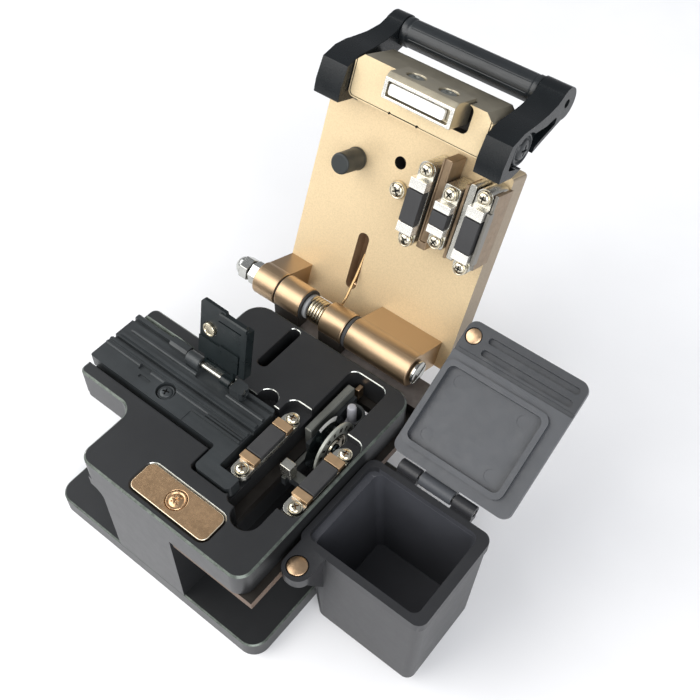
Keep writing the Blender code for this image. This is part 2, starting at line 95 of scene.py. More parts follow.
# Ends in x of the hinge barrels, and the height of the lid's front face.
LID_BARRELS = ((-62.3, -54.4), (-28.1, -7.0))
BASE_BARRELS = ((-53.9, -45.0), (-37.4, -29.5))
LID_FACE = -12.4

# On the lid: the axes of the handle's bar and boss along X, as (y, z), and the latch screws' x.
HANDLE_BAR = (74.4, -29.0)
HANDLE_BOSS = (64.4, -12.7)
LATCH_SCREWS = (("left", -34.7), ("right", -24.9))

# Edges that turn by more than the first are rounded; after that, those past the second are shaded sharp.
ROUND_FROM, SHARP_FROM = radians(28), radians(50)

# The three area lamps: place, aim and size in metres, watts, colour.
LAMPS = {
    "window": ((-0.56, -0.74, 0.90), (0.02, 0.03, 0.04), (1.0, 1.3), 13.0, (1.0, 0.98, 0.95)),
    "side": ((-1.00, -0.10, 0.65), (0.0, 0.0, 0.03), (0.9, 0.8), 6.0, (0.95, 0.98, 1.0)),
    "fill": ((0.85, -0.75, 0.70), (0.05, 0.0, 0.0), (1.1, 1.0), 17.0, (0.97, 0.98, 1.0)),
}
ROOM_COLOUR, ROOM_STRENGTH = (0.84, 0.86, 0.90), 0.45

# The camera's place in metres, its turn in degrees and its lens in millimetres.
CAMERA_AT = (0.11839, -0.09728, 0.25755)
CAMERA_TURN = (38.7546, -0.6576, 38.5672)
CAMERA_LENS = 50.08


def frame_at(y=0.0, z=0.0, angle=0.0):
    """Where a body's own millimetres start: on its axis, turned to its resting angle."""
    return Matrix.Translation((OFFSET + Vector((0, y, z))) * MM) @ Matrix.Rotation(angle, 4, "X")


WORLD = frame_at()
LID = frame_at(*HINGE_AXIS, LID_OPEN)
FLAP = frame_at(*FLAP_AXIS, FLAP_OPEN)
BIN_LID = frame_at(*BIN_AXIS, BIN_OPEN)
BLADE = frame_at(*BLADE_AXIS)
LEVER = frame_at(*LEVER_AXIS)


# ---------------------------------------------------------------- materials


def link(tree, a, b):
    tree.links.new(a, b)


def node(tree, kind, **values):
    made = tree.nodes.new(kind)
    for key, value in values.items():
        setattr(made, key, value)
    return made


def noise(tree, vector, scale, detail=3.0, rough=0.55):
    made = node(tree, "ShaderNodeTexNoise")
    made.inputs["Scale"].default_value = scale
    made.inputs["Detail"].default_value = detail
    made.inputs["Roughness"].default_value = rough
    link(tree, vector, made.inputs["Vector"])
    return made.outputs["Fac"]


def span(tree, value, low, high, a=0.3, b=0.7):
    made = node(tree, "ShaderNodeMapRange")
    for key, number in (("From Min", a), ("From Max", b), ("To Min", low), ("To Max", high)):
        made.inputs[key].default_value = number
    link(tree, value, made.inputs["Value"])
    return made.outputs["Result"]


def mix(tree, factor, a, b):
    made = node(tree, "ShaderNodeMix", data_type="RGBA")
    for socket, colour in ((made.inputs[6], a), (made.inputs[7], b)):
        if isinstance(colour, tuple):
            socket.default_value = (*colour, 1.0)
        else:
            link(tree, colour, socket)
    link(tree, factor, made.inputs[0])
    return made.outputs[2]


def material(name, colour, rough, metal=0.0, vary=0.12, stretch=(1, 1, 1), grain=2600.0, bump=0.10,
             rough_vary=0.10, specks=None, patch=90.0, depth=0.03, spec=0.5):
    """Metal, paint, plastic or rubber: patchy tone, uneven gloss, a fine grain and, if asked, specks of dust.

    The scales patch and grain are in noise cells to the metre, and depth is the relief in millimetres.
    """
    made = bpy.data.materials.new(name)
    made.use_nodes = True
    tree = made.node_tree
    shader = tree.nodes["Principled BSDF"]
    where = node(tree, "ShaderNodeTexCoord").outputs["Object"]
    mapping = node(tree, "ShaderNodeMapping")
    mapping.inputs["Scale"].default_value = stretch
    link(tree, where, mapping.inputs["Vector"])
    vector = mapping.outputs["Vector"]
    dark = tuple(c * (1 - vary) for c in colour)
    light = tuple(min(1.0, c * (1 + vary)) for c in colour)
    tone = mix(tree, span(tree, noise(tree, where, patch, 4.0), 0.0, 1.0), dark, light)
    if specks:
        tint, amount = specks
        dots = span(tree, noise(tree, where, 1500.0, 2.0), 0.0, 1.0, 0.80 - amount, 0.84 - amount)
        tone = mix(tree, dots, tone, tint)
    link(tree, tone, shader.inputs["Base Color"])
    smudges = noise(tree, vector, patch * 4, 5.0, 0.65)
    gloss = span(tree, smudges, max(0.02, rough - rough_vary), rough + rough_vary)
    link(tree, gloss, shader.inputs["Roughness"])
    relief = node(tree, "ShaderNodeBump")
    relief.inputs["Strength"].default_value = bump
    relief.inputs["Distance"].default_value = depth * MM
    link(tree, noise(tree, vector, grain, 3.0), relief.inputs["Height"])
    link(tree, relief.outputs["Normal"], shader.inputs["Normal"])
    shader.inputs["Metallic"].default_value = metal
    shader.inputs["Specular IOR Level"].default_value = spec
    return made


DUST = (0.30, 0.29, 0.27)
MAT = {
    "paint": material("black_paint", (0.0150, 0.0156, 0.0166), 0.36, bump=0.14, grain=2100,
                      specks=(DUST, 0.02), vary=0.10, depth=0.02, rough_vary=0.02),
    # Painted highlight: pale grey for the pockets' sloped rims that face the front.
    "rim": material("painted_rim_highlight", (0.42, 0.43, 0.40), 0.26, 0.8, vary=0.20, patch=600, bump=0.10,
                    rough_vary=0.04),
    # Painted highlight: green-grey for the sloped outer edges of the deck and the foot.
    "edge": material("painted_edge_highlight", (0.105, 0.122, 0.105), 0.33, 0.45, vary=0.35, patch=600, bump=0.15),
    "champagne": material("champagne_anodised", (0.69, 0.540, 0.330), 0.46, 0.50, vary=0.08, patch=2400,
                          grain=3000, bump=0.75, rough_vary=0.05, specks=((0.50, 0.38, 0.22), 0.05)),
    "cap": material("champagne_cap", (0.71, 0.570, 0.355), 0.46, 0.50, vary=0.07, patch=2400, grain=3000,
                    bump=0.75, rough_vary=0.05, specks=((0.50, 0.38, 0.22), 0.04)),
    "frame": material("champagne_frame", (0.44, 0.395, 0.30), 0.40, 0.90, vary=0.10, grain=3600, bump=0.5,
                      rough_vary=0.06),
    "bronze": material("bronze_anodised", (0.47, 0.338, 0.212), 0.37, 1.0, vary=0.03, grain=3600,
                       bump=0.10, rough_vary=0.03, patch=60),
    # Painted shade: a darker bronze for the tops of the lid's knuckle blocks.
    "block": material("bronze_block_top_shade", (0.36, 0.258, 0.162), 0.40, 0.9, vary=0.05, grain=3600,
                      bump=0.10, rough_vary=0.03, patch=60),
    "shade": material("bronze_in_shade", (0.028, 0.024, 0.020), 0.40, 0.4, vary=0.25, grain=2600, bump=0.2),
    # Painted shade: dark brown for the inside of the lid's slot.
    "hollow": material("slot_painted_shade", (0.26, 0.165, 0.095), 0.40, 0.45, vary=0.20, grain=2600, bump=0.2),
    "steel": material("bright_steel", (0.50, 0.50, 0.47), 0.17, 1.0, vary=0.10, grain=1800, bump=0.04,
                      patch=300, rough_vary=0.03),
    "screw": material("plated_screw", (0.66, 0.61, 0.49), 0.18, 1.0, vary=0.08, grain=1800, bump=0.04,
                      patch=300, rough_vary=0.03),
    "nickel": material("bronze_plate", (0.66, 0.43, 0.245), 0.26, 1.0, vary=0.12, grain=1500, bump=0.18,
                       specks=((0.86, 0.78, 0.64), 0.06), patch=220, rough_vary=0.06),
    # Painted highlight: pale gold for the striker plate's sloped rim.
    "striker_highlight": material("striker_rim_painted_highlight", (0.90, 0.80, 0.62), 0.30, 0.7, vary=0.08, patch=300, bump=0.08,
                         rough_vary=0.04),
    "end": material("pad_end_metal", (0.62, 0.42, 0.245), 0.34, 0.9, vary=0.10, bump=0.14, patch=300,
                    rough_vary=0.05),
    "white_end": material("clamp_end_metal", (0.88, 0.86, 0.80), 0.25, 0.75, vary=0.04, bump=0.08,
                          patch=300, rough_vary=0.04),
    "gun": material("guide_anodised", (0.0290, 0.0330, 0.0350), 0.38, 0.15, vary=0.20, stretch=(0.3, 4, 4),
                    grain=1500, bump=0.10, specks=(DUST, 0.015)),
    "teal": material("flap_anodised", (0.0060, 0.0100, 0.0110), 0.33, 0.10, vary=0.20, grain=2600,
                     bump=0.20, spec=0.4),
    # Grey metal for the latch screws and the carriage's bar, and painted light on the top of the carriage's
    # arm.
    "grey": material("grey_metal_and_painted_light", (0.16, 0.165, 0.150), 0.36, 0.45, vary=0.18, stretch=(1, 0.4, 5),
                     grain=1300, bump=0.22),
    "pin": material("light_grey_tab", (0.27, 0.27, 0.29), 0.45, 0.0, vary=0.10, grain=1900, bump=0.2),
    "dial": material("grey_dial", (0.36, 0.37, 0.33), 0.42, 0.35, vary=0.14, patch=500, bump=0.16),
    "silver": material("satin_silver", (0.52, 0.51, 0.46), 0.26, 0.95, vary=0.10, grain=1300, bump=0.04,
                       rough_vary=0.04),
    "rubber": material("pad_rubber", (0.030, 0.030, 0.031), 0.60, 0.0, vary=0.15, grain=2800, bump=0.25),
    "grip": material("grip_rubber", (0.0115, 0.0140, 0.0160), 0.34, 0.0, vary=0.2, stretch=(0.6, 6, 6),
                     grain=500, bump=0.18, depth=0.06),
    "bumper": material("bumper_rubber", (0.0150, 0.0185, 0.0185), 0.50, 0.0, vary=0.2, grain=2200,
                       bump=0.25),
    "plastic": material("handle_plastic", (0.0062, 0.0078, 0.0090), 0.27, 0.0, vary=0.18, grain=1500,
                        bump=0.25, rough_vary=0.04, spec=0.28),
    "bin": material("bin_plastic", (0.0165, 0.0170, 0.0190), 0.40, 0.0, vary=0.10, grain=2100, bump=0.30,
                    rough_vary=0.02),
    # Painted light: the bin's inside is the same plastic, made lighter than its outside.
    "bin_inner": material("bin_inside_painted_light", (0.048, 0.050, 0.058), 0.50, 0.0, vary=0.10, grain=2100, bump=0.30,
                          rough_vary=0.03),
    "lid_plastic": material("bin_lid_plastic", (0.048, 0.0513, 0.0575), 0.44, 0.0, vary=0.10, grain=2100,
                            bump=0.32),
    "nylon": material("bushing_nylon", (0.24, 0.245, 0.25), 0.42, 0.0, vary=0.06),
    "spring": material("spring_wire", (0.52, 0.45, 0.33), 0.20, 1.0, vary=0.10, rough_vary=0.03),
    # Painted shade, tinted by the bronze round it: for the spring's leg and the anvil screws' sockets.
    "leg": material("bronze_tinted_painted_shade", (0.36, 0.235, 0.115), 0.24, 1.0, vary=0.10, rough_vary=0.03),
    # Painted shade: near-black for hollows, gaps and screw sockets.
    "dark": material("hollow_painted_shade", (0.010, 0.0095, 0.009), 0.55, 0.0),
    "blade_dark": material("dark_blade_steel", (0.045, 0.060, 0.065), 0.16, 0.9, vary=0.30, grain=1500,
                           bump=0.05, patch=260, rough_vary=0.04),
    # Painted shade: dark brown for the bronze plate's edges under the deck.
    "brown": material("bronze_painted_shade_under_deck", (0.115, 0.070, 0.043), 0.50, 0.3, vary=0.20, grain=1500,
                      bump=0.2, patch=400),
    # Painted shade: a darker champagne for the lid's two side faces.
    "lid_side": material("lid_side_painted_shade", (0.33, 0.265, 0.19), 0.46, 0.50, vary=0.08, patch=1500,
                         grain=3000, bump=0.6, rough_vary=0.05),
    "shim": material("bracket_bronze", (0.27, 0.195, 0.125), 0.40, 0.7, vary=0.12, grain=2600, bump=0.3,
                     patch=500),
    # Painted shade: a darker steel for the clamps' side plate.
    "side_steel": material("side_plate_painted_shade", (0.24, 0.23, 0.205), 0.34, 0.9, vary=0.12, grain=1300,
                           bump=0.05, rough_vary=0.04),
    "ledge": material("ledge_in_shade", (0.17, 0.15, 0.14), 0.50, 0.3, vary=0.20, grain=1500, bump=0.2,
                      patch=400),
    "lid_band": material("bin_lid_band", (0.0195, 0.0221, 0.0263), 0.44, 0.0, vary=0.10, grain=2100,
                         bump=0.32),
    # White for the latch's magnet, and a painted glint on the blade's edge.
    "magnet": material("magnet_white_and_painted_glint", (0.95, 0.95, 0.92), 0.32, 0.5, vary=0.03, bump=0.04),
    "gold": material("gold_disc", (0.50, 0.345, 0.215), 0.36, 1.0, vary=0.12, grain=1400, bump=0.20,
                     patch=260),
    "flap_disc": material("nickel_disc", (0.62, 0.56, 0.42), 0.24, 1.0, vary=0.16, grain=1400, bump=0.30,
                          patch=420),
}


# ---------------------------------------------------------------- shapes


def rounded(corners, steps=8):
    """Outline through corners (x, y, radius), each rounded by an arc."""
    points = []
    for index, (x, y, r) in enumerate(corners):
        here = Vector((x, y))
        back = (Vector(corners[index - 1][:2]) - here).normalized()
        ahead = (Vector(corners[(index + 1) % len(corners)][:2]) - here).normalized()
        if r <= 0:
            points.append((x, y))
            continue
        half = back.angle(ahead) / 2
        reach = r / tan(half)
        centre = here + (back + ahead).normalized() * (r / sin(half))
        start = here + back * reach - centre
        end = here + ahead * reach - centre
        a0 = atan2(start.y, start.x)
        turn = (atan2(end.y, end.x) - a0 + pi) % (2 * pi) - pi
        for step in range(steps + 1):
            a = a0 + turn * step / steps
            points.append((centre.x + r * cos(a), centre.y + r * sin(a)))
    return points


def rect(x0, x1, y0, y1, r=0.0, steps=6):
    return rounded([(x0, y0, r), (x1, y0, r), (x1, y1, r), (x0, y1, r)], steps)


def circle(x, y, r, steps=40, start=0.0):
    turns = [start + 2 * pi * k / steps for k in range(steps)]
    return [(x + r * cos(a), y + r * sin(a)) for a in turns]


def arc(x, y, r, degrees):
    return [(x + r * cos(radians(d)), y + r * sin(radians(d))) for d in degrees]


def place(a, b, t, axis):
    """The point (a, b) of an outline at the distance t along the axis that it is pushed along."""
    return {"X": (t, a, b), "Y": (a, t, b), "Z": (a, b, t)}[axis]


def prism(outline, low, high, axis="Z", chamfer=0.0, both=False):
    """Outline pushed along an axis, with its far end chamfered, or both ends."""
    bm = bmesh.new()
    face = bm.faces.new([bm.verts.new(place(a, b, low, axis)) for a, b in outline])
    pushed = bmesh.ops.extrude_face_region(bm, geom=[face])["geom"]
    top = [item for item in pushed if isinstance(item, bmesh.types.BMVert)]
    bmesh.ops.translate(bm, verts=top, vec=Vector(place(0, 0, high - low, axis)))
    if chamfer:
        ends = set(top)
        edges = [e for e in bm.edges if (e.verts[0] in ends) == (e.verts[1] in ends)]
        if not both:
            edges = [e for e in edges if e.verts[0] in ends]
        bmesh.ops.bevel(bm, geom=edges, offset=chamfer, segments=1, affect="EDGES")
    bmesh.ops.recalc_face_normals(bm, faces=bm.faces)
    return bm


def box(x, y, z, r=0.0):
    return prism(rect(*x, *y, r), *z)


def loft(low_outline, low, high_outline, high):
    """Solid between two outlines that have the same number of points."""
    bm = bmesh.new()
    face = bm.faces.new([bm.verts.new((a, b, low)) for a, b in low_outline])
    pushed = bmesh.ops.extrude_face_region(bm, geom=[face])["geom"]
    for vert in [item for item in pushed if isinstance(item, bmesh.types.BMVert)]:
        near = min(range(len(low_outline)), key=lambda k: (
            hypot(vert.co.x - low_outline[k][0], vert.co.y - low_outline[k][1])))
        vert.co = (*high_outline[near], high)
    bmesh.ops.recalc_face_normals(bm, faces=bm.faces)
    return bm


def flare(x, y, r, width):
    """Cutter that slopes the rim of a pocket in the deck."""
    more = width + 0.1
    wide = rect(x[0] - more, x[1] + more, y[0] - more, y[1] + more, r + more if r else 0.0)
    return loft(rect(*x, *y, r), DECK_TOP - width, wide, DECK_TOP + 0.1)


def turned(profile, at=(0.0, 0.0), axis="Z", steps=40, ring=False):
    """Profile of (height, radius) points spun round the axis through at."""
    bm = bmesh.new()
    verts = [bm.verts.new((r, 0, t)) for t, r in profile]
    count = len(verts) if ring else len(verts) - 1
    edges = [bm.edges.new((verts[k], verts[(k + 1) % len(verts)])) for k in range(count)]
    bmesh.ops.spin(bm, geom=verts + edges, axis=(0, 0, 1), cent=(0, 0, 0), angle=2 * pi, steps=steps)
    bmesh.ops.remove_doubles(bm, verts=bm.verts, dist=1e-3)
    bmesh.ops.dissolve_degenerate(bm, edges=bm.edges, dist=1e-3)
    for vert in bm.verts:
        x, y, t = vert.co
        vert.co = place(at[0] + x, at[1] + y, t, axis)
    bmesh.ops.recalc_face_normals(bm, faces=bm.faces)
    return bm


def rod(x0, x1, r, at=(0.0, 0.0), steps=56):
    return prism(circle(*at, r, steps), x0, x1, "X")


def soft_rod(x0, x1, r, at=(0.0, 0.0), edge=0.4):
    """Round bar along X whose two rims are rounded off."""
    rim = [(sin(radians(d)), cos(radians(d))) for d in (0, 22, 45, 68, 90)]
    low = [(x0 + edge * (1 - c), r - edge * (1 - s)) for s, c in rim]
    high = [(x1 - edge * (1 - c), r - edge * (1 - s)) for s, c in reversed(rim)]
    return turned([(x0, 0), *low, *high, (x1, 0)], at, "X", 56)


def tube(x0, x1, inner, outer, at):
    return turned([(x0, inner), (x0, outer), (x1, outer), (x1, inner)], at, "X", 56, ring=True)


def moved(bm, x=0.0, y=0.0, z=0.0, turn=0.0, axis="Z"):
    bmesh.ops.rotate(bm, verts=bm.verts, cent=(0, 0, 0), matrix=Matrix.Rotation(turn, 3, axis))
    bmesh.ops.translate(bm, verts=bm.verts, vec=(x, y, z))
    return bm


def show(name, data):
    obj = bpy.data.objects.new(name, data)
    bpy.context.scene.collection.objects.link(obj)
    return obj


def shade(mesh):
    for face in mesh.polygons:
        face.use_smooth = True
    return mesh


def put(name, bm):
    """A smooth-shaded object in the scene, in metres, from a shape in millimetres."""
    mesh = bpy.data.meshes.new(name)
    bmesh.ops.scale(bm, verts=bm.verts, vec=(MM, MM, MM))
    bm.to_mesh(mesh)
    bm.free()
    return show(name, shade(mesh))


def evaluated(obj):
    """The object's mesh with its modifiers applied."""
    graph = bpy.context.evaluated_depsgraph_get()
    graph.update()
    return bpy.data.meshes.new_from_object(obj.evaluated_get(graph), preserve_all_data_layers=True,
                                           depsgraph=graph)


def dress(mesh, materials, paint=None):
    """Give the mesh its materials. paint picks each face's from its centre in millimetres and its normal."""
    mesh.materials.clear()
    for entry in materials:
        mesh.materials.append(MAT[entry])
    for face in mesh.polygons:
        face.material_index = paint(face.center / MM, face.normal) if paint else 0


def hand_over(name, mesh, body, stands_for):
    """Show a finished piece: it rides on its body and, unless it is trim, stands for one CAD node."""
    obj = show(name, mesh)
    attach(obj, body)
    if stands_for:
        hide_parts(stands_for)


def piece(name, body, stands_for, mat, parts, cuts=(), where=WORLD, bevel=0.15, segments=2, paint=None):
    """One visible piece: shapes joined and cut, edges rounded, then placed on its body."""
    first, *others = parts
    raw = put(name + "_raw", first)
    tools = []
    jobs = [("UNION", shape) for shape in others] + [("DIFFERENCE", shape) for shape in cuts]
    for index, (kind, shape) in enumerate(jobs):
        tool = put(f"{name}_tool_{index}", shape)
        made = raw.modifiers.new(f"{kind}_{index}", "BOOLEAN")
        made.operation, made.solver, made.object = kind, "EXACT", tool
        tools.append(tool)
    if bevel:
        made = raw.modifiers.new("edges", "BEVEL")
        made.width, made.segments, made.limit_method = bevel * MM, segments, "ANGLE"
        made.angle_limit, made.use_clamp_overlap, made.loop_slide = ROUND_FROM, True, False
        made.miter_outer = "MITER_ARC"
    mesh = evaluated(raw)
    mesh.set_sharp_from_angle(angle=SHARP_FROM)
    middle = show(name + "_mid", mesh)
    weigh = middle.modifiers.new("weigh", "WEIGHTED_NORMAL")
    weigh.keep_sharp, weigh.weight = True, 60
    final = evaluated(middle)
    for thing in (raw, middle, *tools):
        bpy.data.objects.remove(thing)
    dress(final, [mat] if isinstance(mat, str) else mat, paint)
    final.transform(where)
    final.name = name
    hand_over(name, final, body, stands_for)


def cross(at, top, reach=1.0, width=0.34, depth=0.8, turn=0.5):
    """Two cutters for a cross-head socket, which narrows downwards."""
    outline = [(-reach, -width / 2), (reach, -width / 2), (reach, width / 2), (-reach, width / 2)]
    bottom = [(a * 0.5, b * 0.8) for a, b in outline]
    return [moved(loft(bottom, top - depth, outline, top + 0.6), *at, turn=turn + quarter)
            for quarter in (0, pi / 2)]


def screw(name, body, at, seat, where=WORLD, r=2.0, height=1.5, turn=0.5, mat="screw", shank=1.0,
          socket="dark"):
    """Pan-head cross-slot screw: a rim, a shallow ring, then a dome whose cross socket is painted with shade.
    """
    top = seat + height
    dome = [(seat + height * (0.62 + 0.38 * sin(radians(d))), r * (0.18 + 0.60 * cos(radians(d))))
            for d in (0, 20, 40, 60, 76, 90)]
    profile = [(seat - shank, 0), (seat - shank, 0.8), (seat, 0.8), (seat, r * 0.95), (seat + 0.1, r),
               (seat + height * 0.42, r), (seat + height * 0.60, r * 0.95), (seat + height * 0.62, r * 0.88),
               (seat + height * 0.56, r * 0.80), *dome, (top, 0)]

    def paint(spot, normal):
        near = hypot(spot.x - at[0], spot.y - at[1]) < r * 0.66
        sunk = normal.z < 0.25 or spot.z < top - height * 0.35
        return 1 if near and sunk else 0

    piece(name, body, name, (mat, socket), [turned(profile, at)],
          cross(at, top, r * 0.60, r * 0.21, height * 0.55, turn), where, bevel=0, paint=paint)


# ---------------------------------------------------------------- base


def body_frame():
    outline = rounded([
        (-58.2, 0, 4), (-1.7, 0, 4.2), (-1.7, 68.7, 5), (-58.3, 68.7, 6),
        (-58.3, 48, 2.5), (-79, 48, 2), (-79, 19, 2), (-58.2, 19, 4)], 10)
    deck = prism(outline, DECK_LOW, DECK_TOP, chamfer=0.55)
    foot = prism(rect(-79, -0.6, 0, 70, 5, 10), 0, FOOT_TOP, chamfer=0.45)
    curve = arc(-56.2, 30.3, 4.1, range(90, -1, -10))
    pillar = prism([*curve, (-52.1, 5), (-26.8, 5), (-26.8, 38), (-56.2, 38)], 0.05, 68.0, "Y")
    left = rounded([(-58.1, 0.1, 4), (-53, 0.1, 0), (-53, 67.8, 0), (-58.1, 67.8, 6)], 10)
    skirts = [prism(left, 34.2, 38), box((-78.9, -54), (19.1, 47.9), (35.4, 38), r=2)]
    over = DECK_TOP + 4
    # Each pocket in the deck: its span in x and y, its floor, its corners' radius and its rim's width.
    pockets = [
        ((-20.8, -8.6), (14.5, 66.4), 30, 2.5, RIM),
        ((-17.0, -8.6), (10.5, 22), 30, 4, RIM),
        ((-27.6, -2.6), (20.8, 48.7), 43.0, 2.8, RIM),
        ((-85, -27), (22.8, 43.4), 42.0, 0, RIM),
        ((-33.8, -20.4), (15.7, 25), 42.0, 1.5, RIM),
        ((-43.3, -39.9), (51.4, 67.3), 28, 1.4, RIM),
        ((-42.2, -15.6), (1.9, 11.2), 44.8, 2.4, 0.4),
    ]
    cuts = [box(x, y, (floor, over), r=r) for x, y, floor, r, _ in pockets]
    cuts += [prism(circle(*DECK_RELIEF, 3.0), 41.0, over), prism(circle(*STRIKER_SCREW, 1.5, 24), 41.5, over)]
    cuts += [flare(x, y, r, rim) for x, y, _, r, rim in pockets]
    cuts.append(prism([(43.3, 45.0), (44.5, 46.1), (43.3, 46.1)], -85, -59.5, "X"))
    cuts.append(loft(circle(*DECK_RELIEF, 3.0), 45.8, circle(*DECK_RELIEF, 3.3), 46.1))

    # Painted highlights: the outer edges take the edge highlight, and the pocket rims that face the front
    # take the rim highlight.
    def paint(at, normal):
        if not (0.30 < normal.z < 0.95 and (at.z > 44.9 or 4.9 < at.z < 5.9)):
            return 0
        outer = at.y < 1.6 or at.x > -3.3 or at.x < -57.4 or at.y > 68.0 or at.z < 6
        return 1 if outer else (2 if normal.y < -0.35 else 0)

    piece("body_frame", "base", "body_frame", ("paint", "edge", "rim"),
          [deck, foot, pillar, *skirts], cuts, bevel=0.28, segments=3, paint=paint)


def base_block():
    knuckles = []
    for x0, x1 in BASE_BARRELS:
        knuckles.append(soft_rod(x0, x1, BARREL_R, HINGE_AXIS, 0.35))
        knuckles.append(box((x0 + 0.02, x1 - 0.02), (71.3, 78.9), (40, 46.5)))
    plate = box((-26.3, 0.3), (0.6, 79), (34.2, 36.9))
    beam = box((-54.0, 0.3), (69.7, 79), (34.2, 40.5))
    cuts = [box((-17.9, -8.8), (14, 64), (30, 38), r=1.0), rod(-60, -20, SHAFT_BORE_R, HINGE_AXIS, 32)]

    def paint(at, normal):
        top_of_beam = normal.z > 0.9 and 40.3 < at.z < 40.7
        # Painted shade: the plate's front and right edges under the deck are dark brown.
        shaded_plate_edge = at.z < 37.0 and (normal.y < -0.5 or normal.x > 0.5) and (at.y < 2 or at.x > -1)
        under_deck = at.z < 40 and -50 < at.x < -2.5 and 12 < at.y < 68
        behind_deck = at.y < 74.6 and 37 < at.z < 45.5 and at.x < -7.5
        if top_of_beam:
            return 2
        if shaded_plate_edge:
            return 3
        return 1 if under_deck or behind_deck else 0

    piece("base_block", "base", "base_block", ("bronze", "shade", "ledge", "brown"),
          [beam, plate, *knuckles], cuts, bevel=0.25, paint=paint)
    # Painted shade: dark rings fill the gaps between the knuckles on the shaft.
    rings = [tube(-54.38, -53.92, SHAFT_BORE_R, 4.5, HINGE_AXIS),
             tube(-44.98, -44.45, SHAFT_BORE_R, 4.75, HINGE_AXIS)]
    piece("gap_rings", "base", None, "dark", rings, bevel=0.05)


def striker():
    x, y = STRIKER_SCREW
    plate = prism(rect(-41.9, -15.9, 2.2, 10.9, 2, 8), 45.1, 46.2)

    # Painted highlight: the plate's sloped rim, away from the screw, takes a pale colour.
    def paint(at, normal):
        sloped = 0.05 < normal.z < 0.96
        return 1 if sloped and hypot(at.x - x, at.y - y) > 3.6 else 0

    piece("striker_plate", "base", "striker_plate", ("nickel", "striker_highlight"), [plate],
          [prism(circle(x, y, 2.9), 40, 50)], bevel=0.7, segments=5, paint=paint)
    profile = [(43.3, 0), (43.3, 1.2), (45.5, 1.2), (45.6, 2.62), (46.0, 2.75), (46.22, 2.6), (46.22, 2.3),
               (45.95, 2.05), (45.95, 1.9), (46.3, 1.45), (46.45, 0.8), (46.5, 0)]
    turn = 0.2
    pits = [(x + 1.15 * cos(a), y + 1.15 * sin(a)) for a in [turn + pi / 4 + k * pi / 2 for k in range(4)]]
    cuts = cross(STRIKER_SCREW, 46.42, 1.25, 0.42, 0.55, turn)
    cuts += [prism(circle(*pit, 0.26, 16), 46.0, 47) for pit in pits]
    piece("striker_screw", "base", "striker_screw", "nickel",
          [turned(profile, STRIKER_SCREW, steps=48)],
          cuts, bevel=0.05, segments=1)


def fibre_guide():
    foot = rounded([
        (-80.2, 24.4, 0.8), (-32.9, 24.4, 0.9), (-32.9, 16.4, 1.5), (-21, 16.4, 1.5),
        (-21, 20.7, 0.4), (-27.9, 20.7, 0.6), (-27.9, 42.4, 0.8), (-80.2, 42.4, 0.8)])
    base = prism(foot, 42.3, 46.3)
    land = prism([(30.0, 45), (30.0, 46.5), (30.3, 46.8), (30.8, 46.8), (31.0, 46.5), (31.5, 46.5),
                  (31.7, 46.9), (32.3, 46.9), (32.5, 45)], -80.0, -28.2, "X")
    fins = [box((-45.0, -28.2), (28.2, 28.8), (46.0, 47.0)), box((-41.0, -28.2), (29.3, 29.8), (46.0, 47.1))]
    first = prism([(34.2, 45), (34.2, 46.2), (34.6, 47.1), (35.5, 47.1), (35.8, 46.4), (35.8, 45)],
                  -79.0, -28.2, "X")
    second = prism([(37.0, 45), (37.2, 46.8), (37.5, 47.1), (38.1, 47.1), (38.3, 46.6), (38.4, 45)],
                   -77.2, -28.2, "X")
    hub = soft_rod(-57.2, -52.4, 2.0, FLAP_AXIS, 0.3)
    web = box((-57.2, -52.4), (38.4, 42.0), (45.5, FLAP_AXIS[1]))
    block = prism(rect(38.2, 42.2, 45.5, 50.0), -41.1, -36.6, "X", 0.6, both=True)
    wall = prism([(41.0, 45.5), (41.0, 46.5), (41.4, 46.8), (42.7, 46.8), (43.1, 46.4), (43.1, 45.5)],
                 -80.0, -64.8, "X")
    stop = prism([(40.0, 45.4), (40.0, 47.9), (40.8, 48.6), (42.7, 48.6), (43.0, 48.2), (43.0, 45.4)],
                 -65.0, -58.6, "X")
    cuts = [
        prism(circle(*GUIDE_SCREW, 2.8), 44.6, 50),
        prism(circle(*GUIDE_SCREW, 1.2, 24), 41, 50),
        box((-52.3, -41.2), (37.0, 43), (46.0, 50)),
        rod(-58.2, -30, PIN_BORE_R, FLAP_AXIS, 24),
        prism([(32.7, 47), (33.1, 45.2), (33.7, 45.2), (34.0, 47)], -90, -20, "X"),
        prism([(40.3, 47), (40.5, 45.4), (41.3, 45.4), (41.5, 47)], -90, -20, "X"),
        box((-66.5, -62.3), (29.4, 30.8), (45.9, 50)),
        box((-64.6, -60.4), (27.4, 28.4), (45.9, 50)),
        box((-45.4, -44.9), (24.0, 28.0), (46.15, 50)),
    ]
    piece("guide_block", "base", "guide_block", "gun",
          [base, land, *fins, first, second, hub, web, block, wall, stop], cuts, bevel=0.09)
    screw("guide_screw", "base", GUIDE_SCREW, 44.9, r=2.4, height=1.4, turn=0.3, mat="gun")
    piece("flap_pin", "base", "flap_pin", "silver", [soft_rod(-57.0, -37.0, 0.72, FLAP_AXIS, 0.2)],
          bevel=0)


